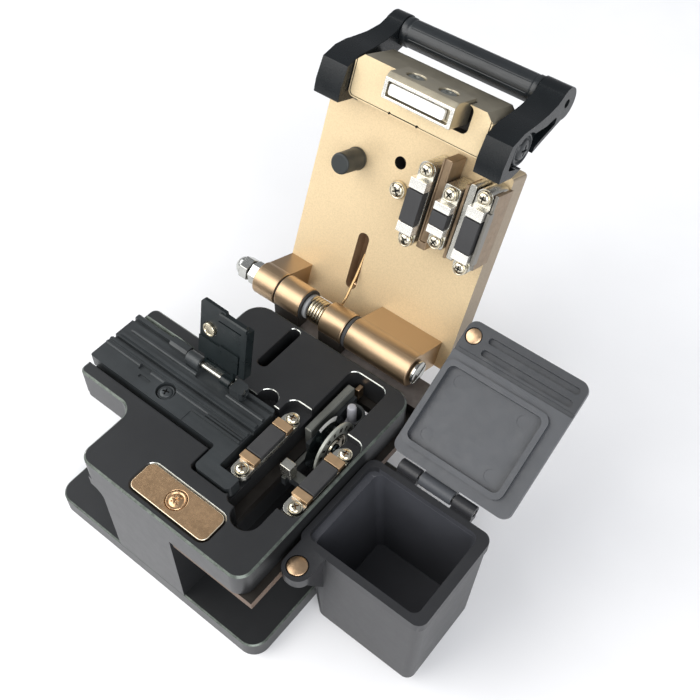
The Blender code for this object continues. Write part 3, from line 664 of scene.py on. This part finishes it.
def fibre_flap():
    outline = rounded([
        (-53.2, 5.4, 0.3), (-36.8, 5.4, 0.3), (-36.8, 21.6, 0.3), (-37.8, 22.5, 0.3), (-44.4, 22.7, 0.15),
        (-44.7, 23.5, 0.15), (-52.3, 23.7, 0.9), (-53.2, 22.4, 0.8)], 5)
    lower_plate = rounded([
        (-53.1, 5.5, 0), (-39.2, 5.5, 0), (-39.2, 12.0, 0.3), (-45.6, 12.0, 0.2), (-45.8, 11.4, 0.2),
        (-53.1, 11.4, 0.2)], 3)
    parts = [
        prism(outline, -0.6, 0.4),
        prism(lower_plate, 0.2, 0.95),
        prism([(20.0, 0.2), (20.4, 1.0), (22.3, 1.0), (22.6, 0.6), (22.6, 0.2)], -46.4, -37.2, "X"),
        box((-46.8, -38.6), (14.6, 19.6), (0.2, 0.72)),
        box((-38.7, -36.85), (5.5, 21.4), (-1.9, 0.9)),
        box((-52.0, -41.5), (1.0, 7.0), (-1.4, -0.3)),
        soft_rod(-44.9, -41.5, 1.5, edge=0.2),
    ]
    cuts = [
        rod(-60, -36, 1.0, steps=24),
        prism(circle(*FLAP_DISC, 2.25), -3, 3),
        box((-51.2, -42.5), (2.6, 3.4), (-2, 3)),
        box((-51.2, -42.5), (4.2, 4.8), (-0.9, 3)),
    ]
    piece("fibre_flap", "flap", "fibre_flap", "teal", parts, cuts, FLAP, bevel=0.14)
    disc = turned([(-0.5, 0), (-0.5, 2.1), (0.85, 2.1), (1.1, 1.9), (1.1, 1.6), (0.9, 1.45), (0.95, 0)],
                  FLAP_DISC)
    piece("flap_magnet", "flap", "flap_magnet", "flap_disc", [disc], where=FLAP, bevel=0)


def anvil(side, x0, x1, screw_x):
    """Steel holder with a rubber pad between two raised ends, held by a screw at its front and its rear."""
    screws = (("front", 23.6, 0.9), ("rear", 43.4, 0.2))
    base = box((x0, x1), (21.4, 45.2), (43.3, 44.9), r=2.2)
    ends = [box((x0, x1), ends_at, (44.5, 46.5)) for ends_at in ((26.0, 28.4), (38.7, 41.3))]
    holes = [prism(circle(screw_x, y, 1.15, 24), 40, 50) for _, y, _ in screws]

    def paint(at, normal):
        return 1 if at.z > 45.3 else 0

    piece(f"{side}_anvil", "base", f"{side}_anvil", ("silver", "end"), [base, *ends], holes,
          bevel=0.16, paint=paint)
    piece(f"{side}_anvil_pad", "base", f"{side}_anvil_pad", "rubber",
          [box((x0 + 0.1, x1 - 0.1), (28.7, 38.4), (45.2, 46.7))], bevel=0.22)
    for end, y, turn in screws:
        # The sockets take the bronze-tinted painted shade.
        screw(f"{side}_anvil_screw_{end}", "base", (screw_x, y), 45.2, turn=turn, socket="leg")


def blade_carriage():
    side = [(32.0, 33.6), (62.4, 33.6), (62.4, 41.0), (42.2, 41.0), (42.2, 36.9), (32.0, 36.9)]
    arm = prism(side, -17.5, -16.2, "X")
    bar = prism(rect(-19.5, -17.3, 44.2, 62.8, 0.2, 3), 37.2, 44.0, chamfer=0.25)
    floor = box((-17.4, -9.2), (55.4, 62.4), (33.6, 35.4))
    cross_bar = box((-16.6, -9.4), (33.4, 36.2), (33.7, 36.6))
    inner = arc(LEVER_X, LEVER_AXIS[0], 2.8, range(-40, 131, 10))
    outer = arc(LEVER_X, LEVER_AXIS[0], 3.6, range(130, -41, -10))
    guard = prism(inner + outer, 35.0, 42.0)
    cuts = [rod(-20, -10, 1.8, BLADE_AXIS, 32), rod(-16.0, -10.8, 2.2, LEVER_AXIS, 32)]

    # Painted light: the arm's upward faces at its front take the lighter grey.
    def paint(at, normal):
        on_bar = at.x < -17.25 and at.z > 37.5
        lit_top_of_arm = normal.z > 0.9 and at.y < 42 and at.z > 36
        return 1 if on_bar or lit_top_of_arm else 0

    piece("blade_carriage", "carriage", "blade_carriage", ("gun", "grey"),
          [arm, bar, floor, cross_bar, guard], cuts, bevel=0.14, paint=paint)
    piece("carriage_block", "carriage", "carriage_block", "silver",
          [box((-18.2, -14.6), (32.4, 35.3), (37.2, 42.0))], bevel=0.3)


def blade():
    disc = turned([
        (-17.3, 0), (-17.3, 1.5), (-15.4, 1.5), (-15.4, 2.4), (-15.2, 2.4), (-14.95, 8.1), (-14.9, 8.2),
        (-14.85, 8.1), (-14.74, 6.7), (-14.5, 2.6), (-12.4, 2.6), (-12.4, 1.5), (-10.8, 1.5), (-10.6, 1.3),
        (-10.6, 0)], axis="X", steps=96)

    # Painted highlight: a crescent of the blade's ground edge is bright white.
    def shine(at, normal):
        glint_on_edge = normal.x > 0.3 and hypot(at.y, at.z) > 6.7
        return 1 if glint_on_edge and radians(48) < atan2(at.z, at.y) < radians(104) else 0

    piece("blade", "blade", "blade", ("blade_dark", "magnet"), [disc], where=BLADE, bevel=0,
          paint=shine)
    dial = turned([
        (-12.1, 4.6), (-12.1, 7.9), (-12.0, 8.1), (-11.35, 8.1), (-11.2, 7.95), (-11.2, 5.0), (-11.3, 4.7)],
        axis="X", steps=96, ring=True)
    # Two or three strokes engraved at each of the dial's places.
    marks = []
    places = 16
    for k in range(places):
        a = 2 * pi * k / places
        for turn in ((-0.06, 0.0, 0.07) if k % 2 else (0.0, 0.06)):
            bar = prism([(5.8, -0.2), (7.3, -0.2), (7.3, 0.2), (5.8, 0.2)], -11.34, -11.0, "X")
            marks.append(moved(bar, turn=a + turn, axis="X"))

    # Painted shade: the engraved strokes' grooves are near-black.
    def paint(at, normal):
        return 1 if -11.9 < at.x < -11.24 and 5.2 < hypot(at.y, at.z) < 7.7 else 0

    piece("blade_dial", "blade", "blade_dial", ("dial", "dark"), [dial], marks, BLADE,
          bevel=0, paint=paint)
    hub = turned([(-12.2, 1.6), (-12.2, 4.75), (-11.5, 4.7), (-11.35, 4.4), (-11.35, 3.9), (-11.7, 3.6),
                  (-11.7, 3.0), (-11.25, 2.8), (-11.25, 1.6)], axis="X", steps=72, ring=True)
    piece("blade_hub", "blade", None, "screw", [hub], where=BLADE, bevel=0)


def index_lever():
    pin = turned([(-0.5, 0), (-0.5, 1.3), (7.8, 1.3), (8.3, 1.15), (8.5, 0.8), (8.5, 0)], (LEVER_X, 0),
                 steps=36)
    piece("index_lever", "lever", "index_lever", "pin",
          [soft_rod(-15.2, -11.6, 1.5, edge=0.2), pin],
          where=LEVER, bevel=0.1)


def rear_stop():
    piece("rear_stop", "base", None, "gold", [box((-18.0, -16.6), (63.7, 65.9), (38.0, 42.0))],
          bevel=0.2)


def lid_hinge():
    at = HINGE_AXIS
    shaft = turned([
        (-68.0, 0), (-68.0, 2.0), (-6.7, 2.0), (-6.7, 3.3), (-6.5, 3.5), (-5.9, 3.5), (-5.5, 3.2),
        (-5.3, 2.6), (-5.3, 0)], at, "X", 56)
    slot = moved(box((-6.0, -5), (-4.5, 4.5), (-0.45, 0.45)), 0, *at, turn=0.5, axis="X")
    piece("hinge_shaft", "base", "hinge_shaft", "steel", [shaft], [slot], bevel=0.08, segments=1)
    hexagon = prism(circle(*at, 3.7, 6, 0.25), -69.2, -66.2, "X")
    dome = turned([
        (-68.8, 0), (-68.8, 3.0), (-69.8, 2.95), (-70.7, 2.5), (-71.4, 1.8), (-71.8, 1.0),
        (-72.0, 0)], at, "X")
    piece("acorn_nut", "base", "acorn_nut", "steel", [hexagon, dome],
          [rod(-68.4, -66, SHAFT_BORE_R, at, 40)],
          bevel=0.2)
    piece("jam_nut", "base", "jam_nut", "steel",
          [prism(circle(*at, 3.7, 6, 0.6), -65.8, -62.8, "X")],
          [rod(-70, -60, SHAFT_BORE_R, at, 40)], bevel=0.35, segments=3)
    piece("end_washer", "base", "end_washer", "rubber",
          [tube(-29.2, -28.2, SHAFT_BORE_R, 4.85, at)])
    piece("spring_bushing", "base", "spring_bushing", "nylon",
          [tube(-44.5, -43.4, SHAFT_BORE_R, 3.75, at)],
          bevel=0.2)


def torsion_spring():
    """Round wire along a line: five turns about the shaft, then a leg that reaches into the lid's slot."""
    coil_r, wire_r, turns, steps = 3.5, 0.40, 5, 36
    coil_x, coil_length, start = -43.1, 4.8, radians(32.4)
    points = []
    for k in range(turns * steps + 1):
        a = start + 2 * pi * (turns - k / steps)
        points.append((coil_x + coil_length * k / (turns * steps), coil_r * cos(a), coil_r * sin(a)))
    points += [(-38.1, 2.4, -2.9), (-38.0, 1.4, -4.6), (-38.0, 1.6, -6.6), (-38.1, 3.6, -8.2),
               (-38.6, 9.6, -11.4), (-39.0, 15.2, -13.6), (-39.0, 16.0, -13.9)]
    curve = bpy.data.curves.new("torsion_spring_line", "CURVE")
    curve.dimensions = "3D"
    curve.bevel_depth, curve.bevel_resolution, curve.use_fill_caps = wire_r * MM, 4, True
    spline = curve.splines.new("POLY")
    spline.points.add(len(points) - 1)
    for spot, point in zip(spline.points, points):
        spot.co = (*(Vector(point) * MM), 1.0)
        spot.radius = 1.0
    line = show("torsion_spring_line", curve)
    mesh = evaluated(line)
    bpy.data.objects.remove(line)

    # Painted shade: the wire beyond the coil, the leg, is darker brown than the coil.
    def paint(at, normal):
        return 1 if hypot(at.y, at.z) > coil_r + 0.7 else 0

    dress(shade(mesh), ("spring", "leg"), paint)
    mesh.transform(LID)
    hand_over("torsion_spring", mesh, "lid", "torsion_spring")


# ---------------------------------------------------------------- lid


def lid_plate():
    outline = rounded([
        (-62.3, -3.5, 0.5), (-3.6, -3.5, 0.5), (-3.6, 56.8, 1), (-11.6, 56.8, 0), (-11.6, 59.2, 0),
        (-53.7, 59.2, 0), (-53.7, 56.8, 0), (-62.3, 56.8, 1)], 5)
    plate = prism(outline, -20.0, LID_FACE)
    back = prism(rect(-58, -8, 23, 53, 3), -24.0, -19.5)
    knuckles = []
    for x0, x1 in LID_BARRELS:
        knuckles.append(soft_rod(x0, x1, BARREL_R, edge=0.3))
        knuckles.append(box((x0 + 0.03, x1 - 0.03), (-3.5, 4.6), (-13.0, 0.4)))
    cuts = [
        rod(-70, 0, SHAFT_BORE_R, steps=32),
        box((-42.0, -38.3), (4.2, 22.6), (-30, -5), r=1.75),
        prism(circle(*LID_HOLE, 1.8), -17, -5),
    ]

    def paint(at, normal):
        below_face = at.z < LID_FACE - 0.2
        in_hole = -17.3 < at.z and hypot(at.x - LID_HOLE[0], at.y - LID_HOLE[1]) < 1.9
        in_slot = -42.1 < at.x < -38.5 and 4.3 < at.y < 22.5
        # Painted shade: the knuckle blocks' faces turned towards +y are a darker bronze.
        if at.z > LID_FACE + 0.05:
            return 5 if normal.y > 0.9 else 1
        # Painted shade: the wall of the hole below the face is near-black.
        if below_face and in_hole:
            return 2
        # Painted shade: the slot's walls below the face are dark brown.
        if below_face and in_slot:
            return 3
        # Painted shade: the lid's side faces are a darker champagne.
        return 4 if abs(normal.x) > 0.7 else 0

    piece("lid_plate", "lid", "lid_plate",
          ("champagne", "bronze", "dark", "hollow", "lid_side", "block"), [plate, back, *knuckles],
          cuts, LID, bevel=0.22, paint=paint)
    # The slot's floor is painted with the same shade.
    floor = prism(rect(-42.6, -38.0, 3.6, 23.0, 1.5), -17.4, -16.6)
    piece("lid_slot_floor", "lid", None, "hollow", [floor], where=LID, bevel=0.1)
    pin = turned([(-16.8, 0), (-16.8, 0.8), (-13.9, 0.8), (-13.5, 0.65), (-13.2, 0.35), (-13.1, 0)],
                 (-39.3, 5.6), steps=24)
    piece("lid_slot_pin", "lid", None, "gold", [pin], where=LID, bevel=0)


def lid_top():
    outline = rounded([
        (-53.7, 59.5, 1.6), (-11.6, 59.5, 1.6), (-11.6, 69.0, 0.3),
        (-13.9, 71.2, 0.3), (-51.4, 71.2, 0.3), (-53.7, 69.0, 0.3)], 6)
    cap = prism(outline, -20.0, -6.5)
    cuts = [box((-40.4, -18.9), (70.4, 75), (-10.4, 0)),
            box((-41.1, -17.4), (63.6, 71.0), (-9.6, 0), r=1.6)]
    cuts += [prism(circle(x, 59.9, 0.45, 16), -7.4, 0) for x in (-40.0, -31.2)]
    outer = rounded([(-53.4, 80, 0), (-53.4, 59.8, 1.4), (-11.9, 59.8, 1.4), (-11.9, 80, 0)], 6)
    inner = rounded([(-53.1, 80, 0), (-53.1, 60.1, 1.1), (-12.2, 60.1, 1.1), (-12.2, 80, 0)], 6)
    cuts.append(prism(outer + inner[::-1], -6.9, 0))

    def paint(at, normal):
        in_seam = -7.5 < at.z < -6.55 and at.y < 69.2 and (at.y < 60.3 or at.x < -53.05 or at.x > -12.25)
        in_recess = 63.5 < at.y < 71.05 and at.z < -6.75 and -41.2 < at.x < -17.3
        back_edge = at.y > 70.5 and normal.y > 0.3 and normal.z > 0.2
        if in_seam or in_recess:
            return 2
        if back_edge:
            return 3
        return 1 if at.y > 69.4 else 0

    piece("lid_cap", "lid", "lid_cap", ("cap", "frame", "shade", "bronze"), [cap], cuts, LID,
          bevel=0.22, segments=3, paint=paint)


def latch():
    block = box((-40.0, -19.2), (65.4, 72.2), (-9.0, 0.3))
    tail = box((-40.0, -19.2), (70.9, 72.2), (-10.0, -5.5))
    cuts = [box((-38.9, -20.3), (66.2, 70.0), (-1.4, 2)),
            prism([(73, 0.6), (73, -1.9), (70.5, 0.6)], -45, -15, "X")]
    cuts += [turned([(70.9, 0), (70.9, 2.6), (73, 2.6), (73, 0)], (x, -5.4), "Y") for _, x in LATCH_SCREWS]

    def paint(at, normal):
        return 1 if at.z > 0.0 and normal.z > 0.9 else 0

    piece("latch_block", "lid", "latch_block", ("frame", "white_end"), [block, tail], cuts, LID,
          bevel=0.25, paint=paint)
    piece("latch_magnet", "lid", "latch_magnet", "magnet",
          [box((-38.4, -21.7), (66.7, 69.6), (-1.1, 0.12), r=0.7)], where=LID, bevel=0.15)
    for side, x in LATCH_SCREWS:
        head = turned([
            (71.0, 0), (71.0, 2.2), (71.7, 2.2), (71.9, 1.95), (71.75, 1.7), (71.95, 1.2), (72.0, 0)],
            (x, -5.4), "Y", 36)
        socket = turned([(71.3, 0), (71.3, 0.8), (72.6, 0.9), (72.6, 0)], (x, -5.4), "Y", 6)
        piece(f"latch_screw_{side}", "lid", f"latch_screw_{side}", "grey", [head], [socket], LID,
              bevel=0.05)


def lid_fittings():
    profile = [(-12.1, 0), (-12.1, 3.2), (-11.6, 3.3), (-11.3, 3.2), (-11.1, 3.08), (-4.3, 3.0), (-3.95, 2.9),
               (-3.75, 2.7), (-3.7, 2.4), (-3.7, 0)]
    piece("lid_bumper", "lid", "lid_bumper", "bumper", [turned(profile, BUMPER, steps=44)],
          where=LID, bevel=0)
    screw("lid_screw", "lid", (-33.8, 39.6), -12.1, LID, r=2.5, height=1.7, turn=0.5, shank=0.2)


def clamp(number, x0, x1, spans, screws, screw_x):
    """Steel holder with a rubber pad between two raised ends. spans holds the ends' four edges in y."""
    low, first, second, high = spans
    gap = 0.3
    base = box((x0, x1), (screws[0] - 2.0, screws[1] + 2.0), (-12.1, -3.4), r=0.8 if number == 2 else 2.0)
    ends = [box((x0, x1), ends_at, (-4.0, -0.5)) for ends_at in ((low, first), (second, high))]
    holes = [prism(circle(screw_x, y, 1.15, 24), -8, 5) for y in screws]

    def paint(at, normal):
        return 1 if at.z > -3.35 else 0

    piece(f"clamp_{number}_holder", "lid", f"clamp_{number}_holder", ("silver", "white_end"),
          [base, *ends], holes, LID, bevel=0.18, paint=paint)
    piece(f"clamp_{number}_pad", "lid", f"clamp_{number}_pad", "rubber",
          [box((x0 + 0.05, x1 - 0.05), (first + gap, second - gap), (-3.1, -0.3))], where=LID, bevel=0.2)
    for side, y in zip(("low", "high"), screws):
        screw(f"clamp_{number}_screw_{side}", "lid", (screw_x, y), -3.1, LID, turn=0.3 + 0.4 * number)


def clamps():
    clamp(1, -25.6, -20.8, (34.6, 37.4, 47.2, 50.0), (32.4, 52.4), -22.9)
    clamp(2, -17.2, -12.4, (38.4, 40.6, 45.0, 47.2), (36.0, 49.6), -14.6)
    clamp(3, -8.3, -3.6, (35.2, 37.8, 47.4, 50.2), (32.8, 52.8), -5.7)
    piece("clamp_bracket", "lid", "clamp_bracket", "shim",
          [box((-20.4, -17.6), (31.0, 56.5), (-12.1, -4.6))], [box((-19.9, -18.1), (33.0, 60), (-5.4, 0))],
          LID, bevel=0.3)

    def paint(at, normal):
        return 1 if at.z < -3.3 else 0

    thick = (-3.2, -2.3)
    # The side plate's steel is painted in shade.
    piece("clamp_side_plate", "lid", "clamp_side_plate", ("side_steel", "shim"),
          [box(thick, (33.5, 54.7), (-11.0, -3.0)), box(thick, (35.4, 50.0), (-4.0, -1.6))],
          where=LID, bevel=0.12, paint=paint)
    rail = rounded([(-11.0, 32.5, 0.4), (-9.0, 32.5, 0.4), (-9.0, 54.2, 0.9), (-11.0, 54.2, 0.9)], 5)
    piece("clamp_rail", "lid", None, "silver", [prism(rail, -12.1, -4.2)], where=LID, bevel=0.2)
    piece("clamp_shim", "lid", None, "shim", [box((-12.1, -11.3), (32.0, 53.2), (-12.1, -4.6))],
          where=LID, bevel=0.1)


def handle():
    hub = arc(*HANDLE_BAR, 4.4, range(60, -181, -8))
    profile = [
        (57.6, -9.8), (57.4, -3.4), (61.0, -3.1), (67.1, -4.0), (69.7, -8.4), (71.2, -14.5),
        (72.8, -19.5), (74.8, -23.4), *hub, (69.2, -27.6), (65.4, -21.2), (62.6, -16.9), (59.2, -13.5)]
    taper = [(-66, -12.5), (-62.4, -12.5), (-58.9, -26.5), (-58.7, -40), (-66, -40)]
    pocket = rounded([
        (59.8, -10.2, 0.8), (60.2, -6.4, 0.8), (66.6, -6.2, 1.2), (68.2, -12.0, 1.2), (69.6, -20.8, 1.2),
        (71.6, -25.6, 0.8), (69.4, -26.0, 0.8), (65.6, -19.2, 1.2), (62.6, -15.0, 0.8)], 5)
    left_cuts = [rod(-63.3, -60.3, 2.4, (65.2, -11.0), 40), prism(taper, 62, 85, "Y")]
    right_cuts = [prism(pocket, -5.6, 0, "X"), rod(-4.9, 0, 1.2, HANDLE_BAR, 32),
                  rod(-5.7, 0, 5.0, HANDLE_BOSS)]
    for side, x0, x1, cuts in (("left", -62.3, -54.0, left_cuts), ("right", -11.3, -3.7, right_cuts)):
        piece(f"handle_arm_{side}", "lid", f"handle_arm_{side}", "plastic",
              [prism(profile, x0, x1, "X")], cuts, LID, bevel=0.45, segments=3)
    boss = turned([
        (-6.0, 0), (-6.0, 4.6), (-4.7, 4.5), (-4.4, 4.2), (-4.4, 3.8), (-4.9, 3.5), (-4.9, 3.0), (-4.3, 2.6),
        (-4.0, 1.8), (-3.9, 0)], HANDLE_BOSS, "X", 56)
    y, z = HANDLE_BOSS
    socket = [prism(rect(y - a, y + a, z - b, z + b), -4.6, 0, "X") for a, b in ((1.5, 0.3), (0.3, 1.5))]
    piece("handle_screw_right", "lid", None, "grip", [boss], socket, LID, bevel=0.1)
    sleeve = turned([
        (-53.8, 0), (-53.8, 4.1), (-52.4, 4.1), (-52.1, 3.75), (-51.6, 3.75), (-51.3, 3.9), (-13.6, 3.9),
        (-13.2, 3.7), (-12.9, 4.05), (-11.6, 4.05), (-11.6, 0)], HANDLE_BAR, "X", 72)
    flutes = [rod(-51.0, -13.9, 0.32, centre, 12) for centre in arc(*HANDLE_BAR, 4.13, range(10, 370, 45))]
    piece("handle_bar", "lid", "handle_bar", "grip", [sleeve], flutes, LID, bevel=0.08)


# ---------------------------------------------------------------- scrap bin


def scrap_bin():
    low, high = rect(3.5, 35.3, 20.2, 48.4, 2.5), rect(0.8, 36.4, 19.5, 49.7, 2.5)
    shell = loft(low, 4.0, high, 38.5)
    lip = prism(rect(-1.2, 36.8, 19.3, 50.0, 2.8, 8), 37.8, 41.0)
    ear = prism(rounded([(0, 9.9, 3.6), (8, 9.9, 3.6), (8, 21, 0), (0, 21, 0)], 8), 37.8, 41.0)
    web = prism([(11.5, 38.2), (20.5, 38.2), (20.5, 22.0)], 1.6, 6.8, "X")
    hubs = []
    for x0, x1 in ((6.2, 12.4), (23.2, 29.4)):
        hubs.append(soft_rod(x0, x1, 1.9, BIN_AXIS, 0.2))
        hubs.append(box((x0, x1), (49.4, 53.2), (38.6, 40.7)))
    cuts = [
        loft(rect(5.3, 33.2, 22.0, 46.7, 2), 6.0, rect(2.4, 33.8, 21.6, 48.0, 2), 39.2),
        prism(rect(0.4, 33.8, 21.4, 48.1, 2.2, 8), 39.0, 45),
        prism(circle(*BIN_MAGNET, 2.9), 39.6, 45),
        rod(0, 40, PIN_BORE_R, BIN_AXIS, 24),
    ]

    # Painted light: the bin's inside walls and floor take the lighter copy of its plastic.
    def paint(at, normal):
        return 1 if 3.0 < at.x < 34.3 and 21.2 < at.y < 48.3 and 5.5 < at.z < 40.6 else 0

    piece("scrap_bin", "base", "scrap_bin", ("bin", "bin_inner"),
          [shell, lip, ear, web, *hubs], cuts, bevel=0.45, segments=3, paint=paint)
    disc = turned([(39.9, 0), (39.9, 2.6), (41.0, 2.6), (41.2, 2.35), (41.2, 0)], BIN_MAGNET, steps=44)
    piece("bin_magnet", "base", "bin_magnet", "gold", [disc], bevel=0)
    piece("bin_hinge_pin", "base", "bin_hinge_pin", "silver",
          [soft_rod(6.4, 29.2, 0.8, BIN_AXIS, 0.2)],
          bevel=0)


def bin_lid():
    panel = prism(rect(1.4, 37.2, 2.3, 42.5, 2.6, 8), -1.8, 0.2)
    ring = prism(rect(1.9, 33.2, 5.2, 30.6, 2.6, 8), 0.0, 1.4)
    bars = [soft_rod(12.8, 22.8, 1.9, edge=0.2), box((12.8, 22.8), (0.6, 3.6), (-1.8, 0.1))]
    step = box((1.4, 37.2), (33.0, 34.2), (-0.25, 3))
    grooves = [box((8.3, 35.4), span_y, (-0.85, 5), r=0.85) for span_y in ((38.6, 40.4), (35.0, 36.8))]
    ejector_marks = [prism(circle(x, y, 1.7, 36), -0.62, 3)
                     for x, y in ((7.6, 26.3), (27.2, 26.0), (7.6, 10.2), (27.4, 10.0))]
    cuts = [
        prism(rect(3.4, 31.7, 6.7, 29.1, 1.8, 8), -0.5, 3),
        *grooves,
        prism(circle(*BIN_LID_MAGNET, 2.4), -0.9, 5),
        rod(0, 40, PIN_BORE_R, steps=24),
        step,
        *ejector_marks,
    ]

    def paint(at, normal):
        return 1 if at.y > 33.6 and normal.z > 0.3 and at.z > -1.2 else 0

    piece("bin_lid", "bin_lid", "bin_lid", ("lid_plastic", "lid_band"), [panel, ring, *bars],
          cuts, BIN_LID, bevel=0.28, segments=3, paint=paint)
    disc = turned([(-0.6, 0), (-0.6, 2.1), (0.1, 2.1), (0.25, 1.9), (0.25, 0)], BIN_LID_MAGNET, steps=44)
    piece("bin_lid_magnet", "bin_lid", "bin_lid_magnet", "gold", [disc], where=BIN_LID, bevel=0)


# ---------------------------------------------------------------- stage


def studio():
    reach = 4000
    bm = bmesh.new()
    for x, y in rect(-reach, reach, -reach, reach):
        bm.verts.new((x, y, -0.05))
    bm.faces.new(bm.verts)
    floor = put("floor", bm)
    paper = material("pale_paper", (0.88, 0.88, 0.89), 0.75, vary=0.02, bump=0.05, patch=12, grain=900)
    floor.data.materials.append(paper)
    world = bpy.data.worlds.new("soft_room")
    world.use_nodes = True
    background = world.node_tree.nodes["Background"]
    background.inputs["Color"].default_value = (*ROOM_COLOUR, 1)
    background.inputs["Strength"].default_value = ROOM_STRENGTH
    bpy.context.scene.world = world
    for name, (at, aim, size, power, colour) in LAMPS.items():
        light = bpy.data.lights.new(name, "AREA")
        light.shape, light.size, light.size_y = "RECTANGLE", *size
        light.energy, light.color = power, colour
        lamp = show(name, light)
        lamp.location = at
        lamp.rotation_euler = (Vector(aim) - Vector(at)).to_track_quat("-Z", "Y").to_euler()


def viewpoint():
    camera = bpy.data.cameras.new("camera")
    camera.lens, camera.sensor_width = CAMERA_LENS, 36
    camera.clip_start = 0.01
    eye = show("camera", camera)
    turn = Euler([radians(d) for d in CAMERA_TURN])
    eye.matrix_world = Matrix.LocRotScale(Vector(CAMERA_AT), turn, None)
    bpy.context.scene.camera = eye


body_frame()
base_block()
striker()
fibre_guide()
fibre_flap()
anvil("left", -26.0, -20.8, -22.9)
anvil("right", -8.4, -3.3, -5.1)
blade_carriage()
blade()
index_lever()
rear_stop()
lid_hinge()
torsion_spring()
lid_plate()
lid_top()
latch()
lid_fittings()
clamps()
handle()
scrap_bin()
bin_lid()
studio()
viewpoint()
bpy.context.scene.view_settings.view_transform = "Standard"
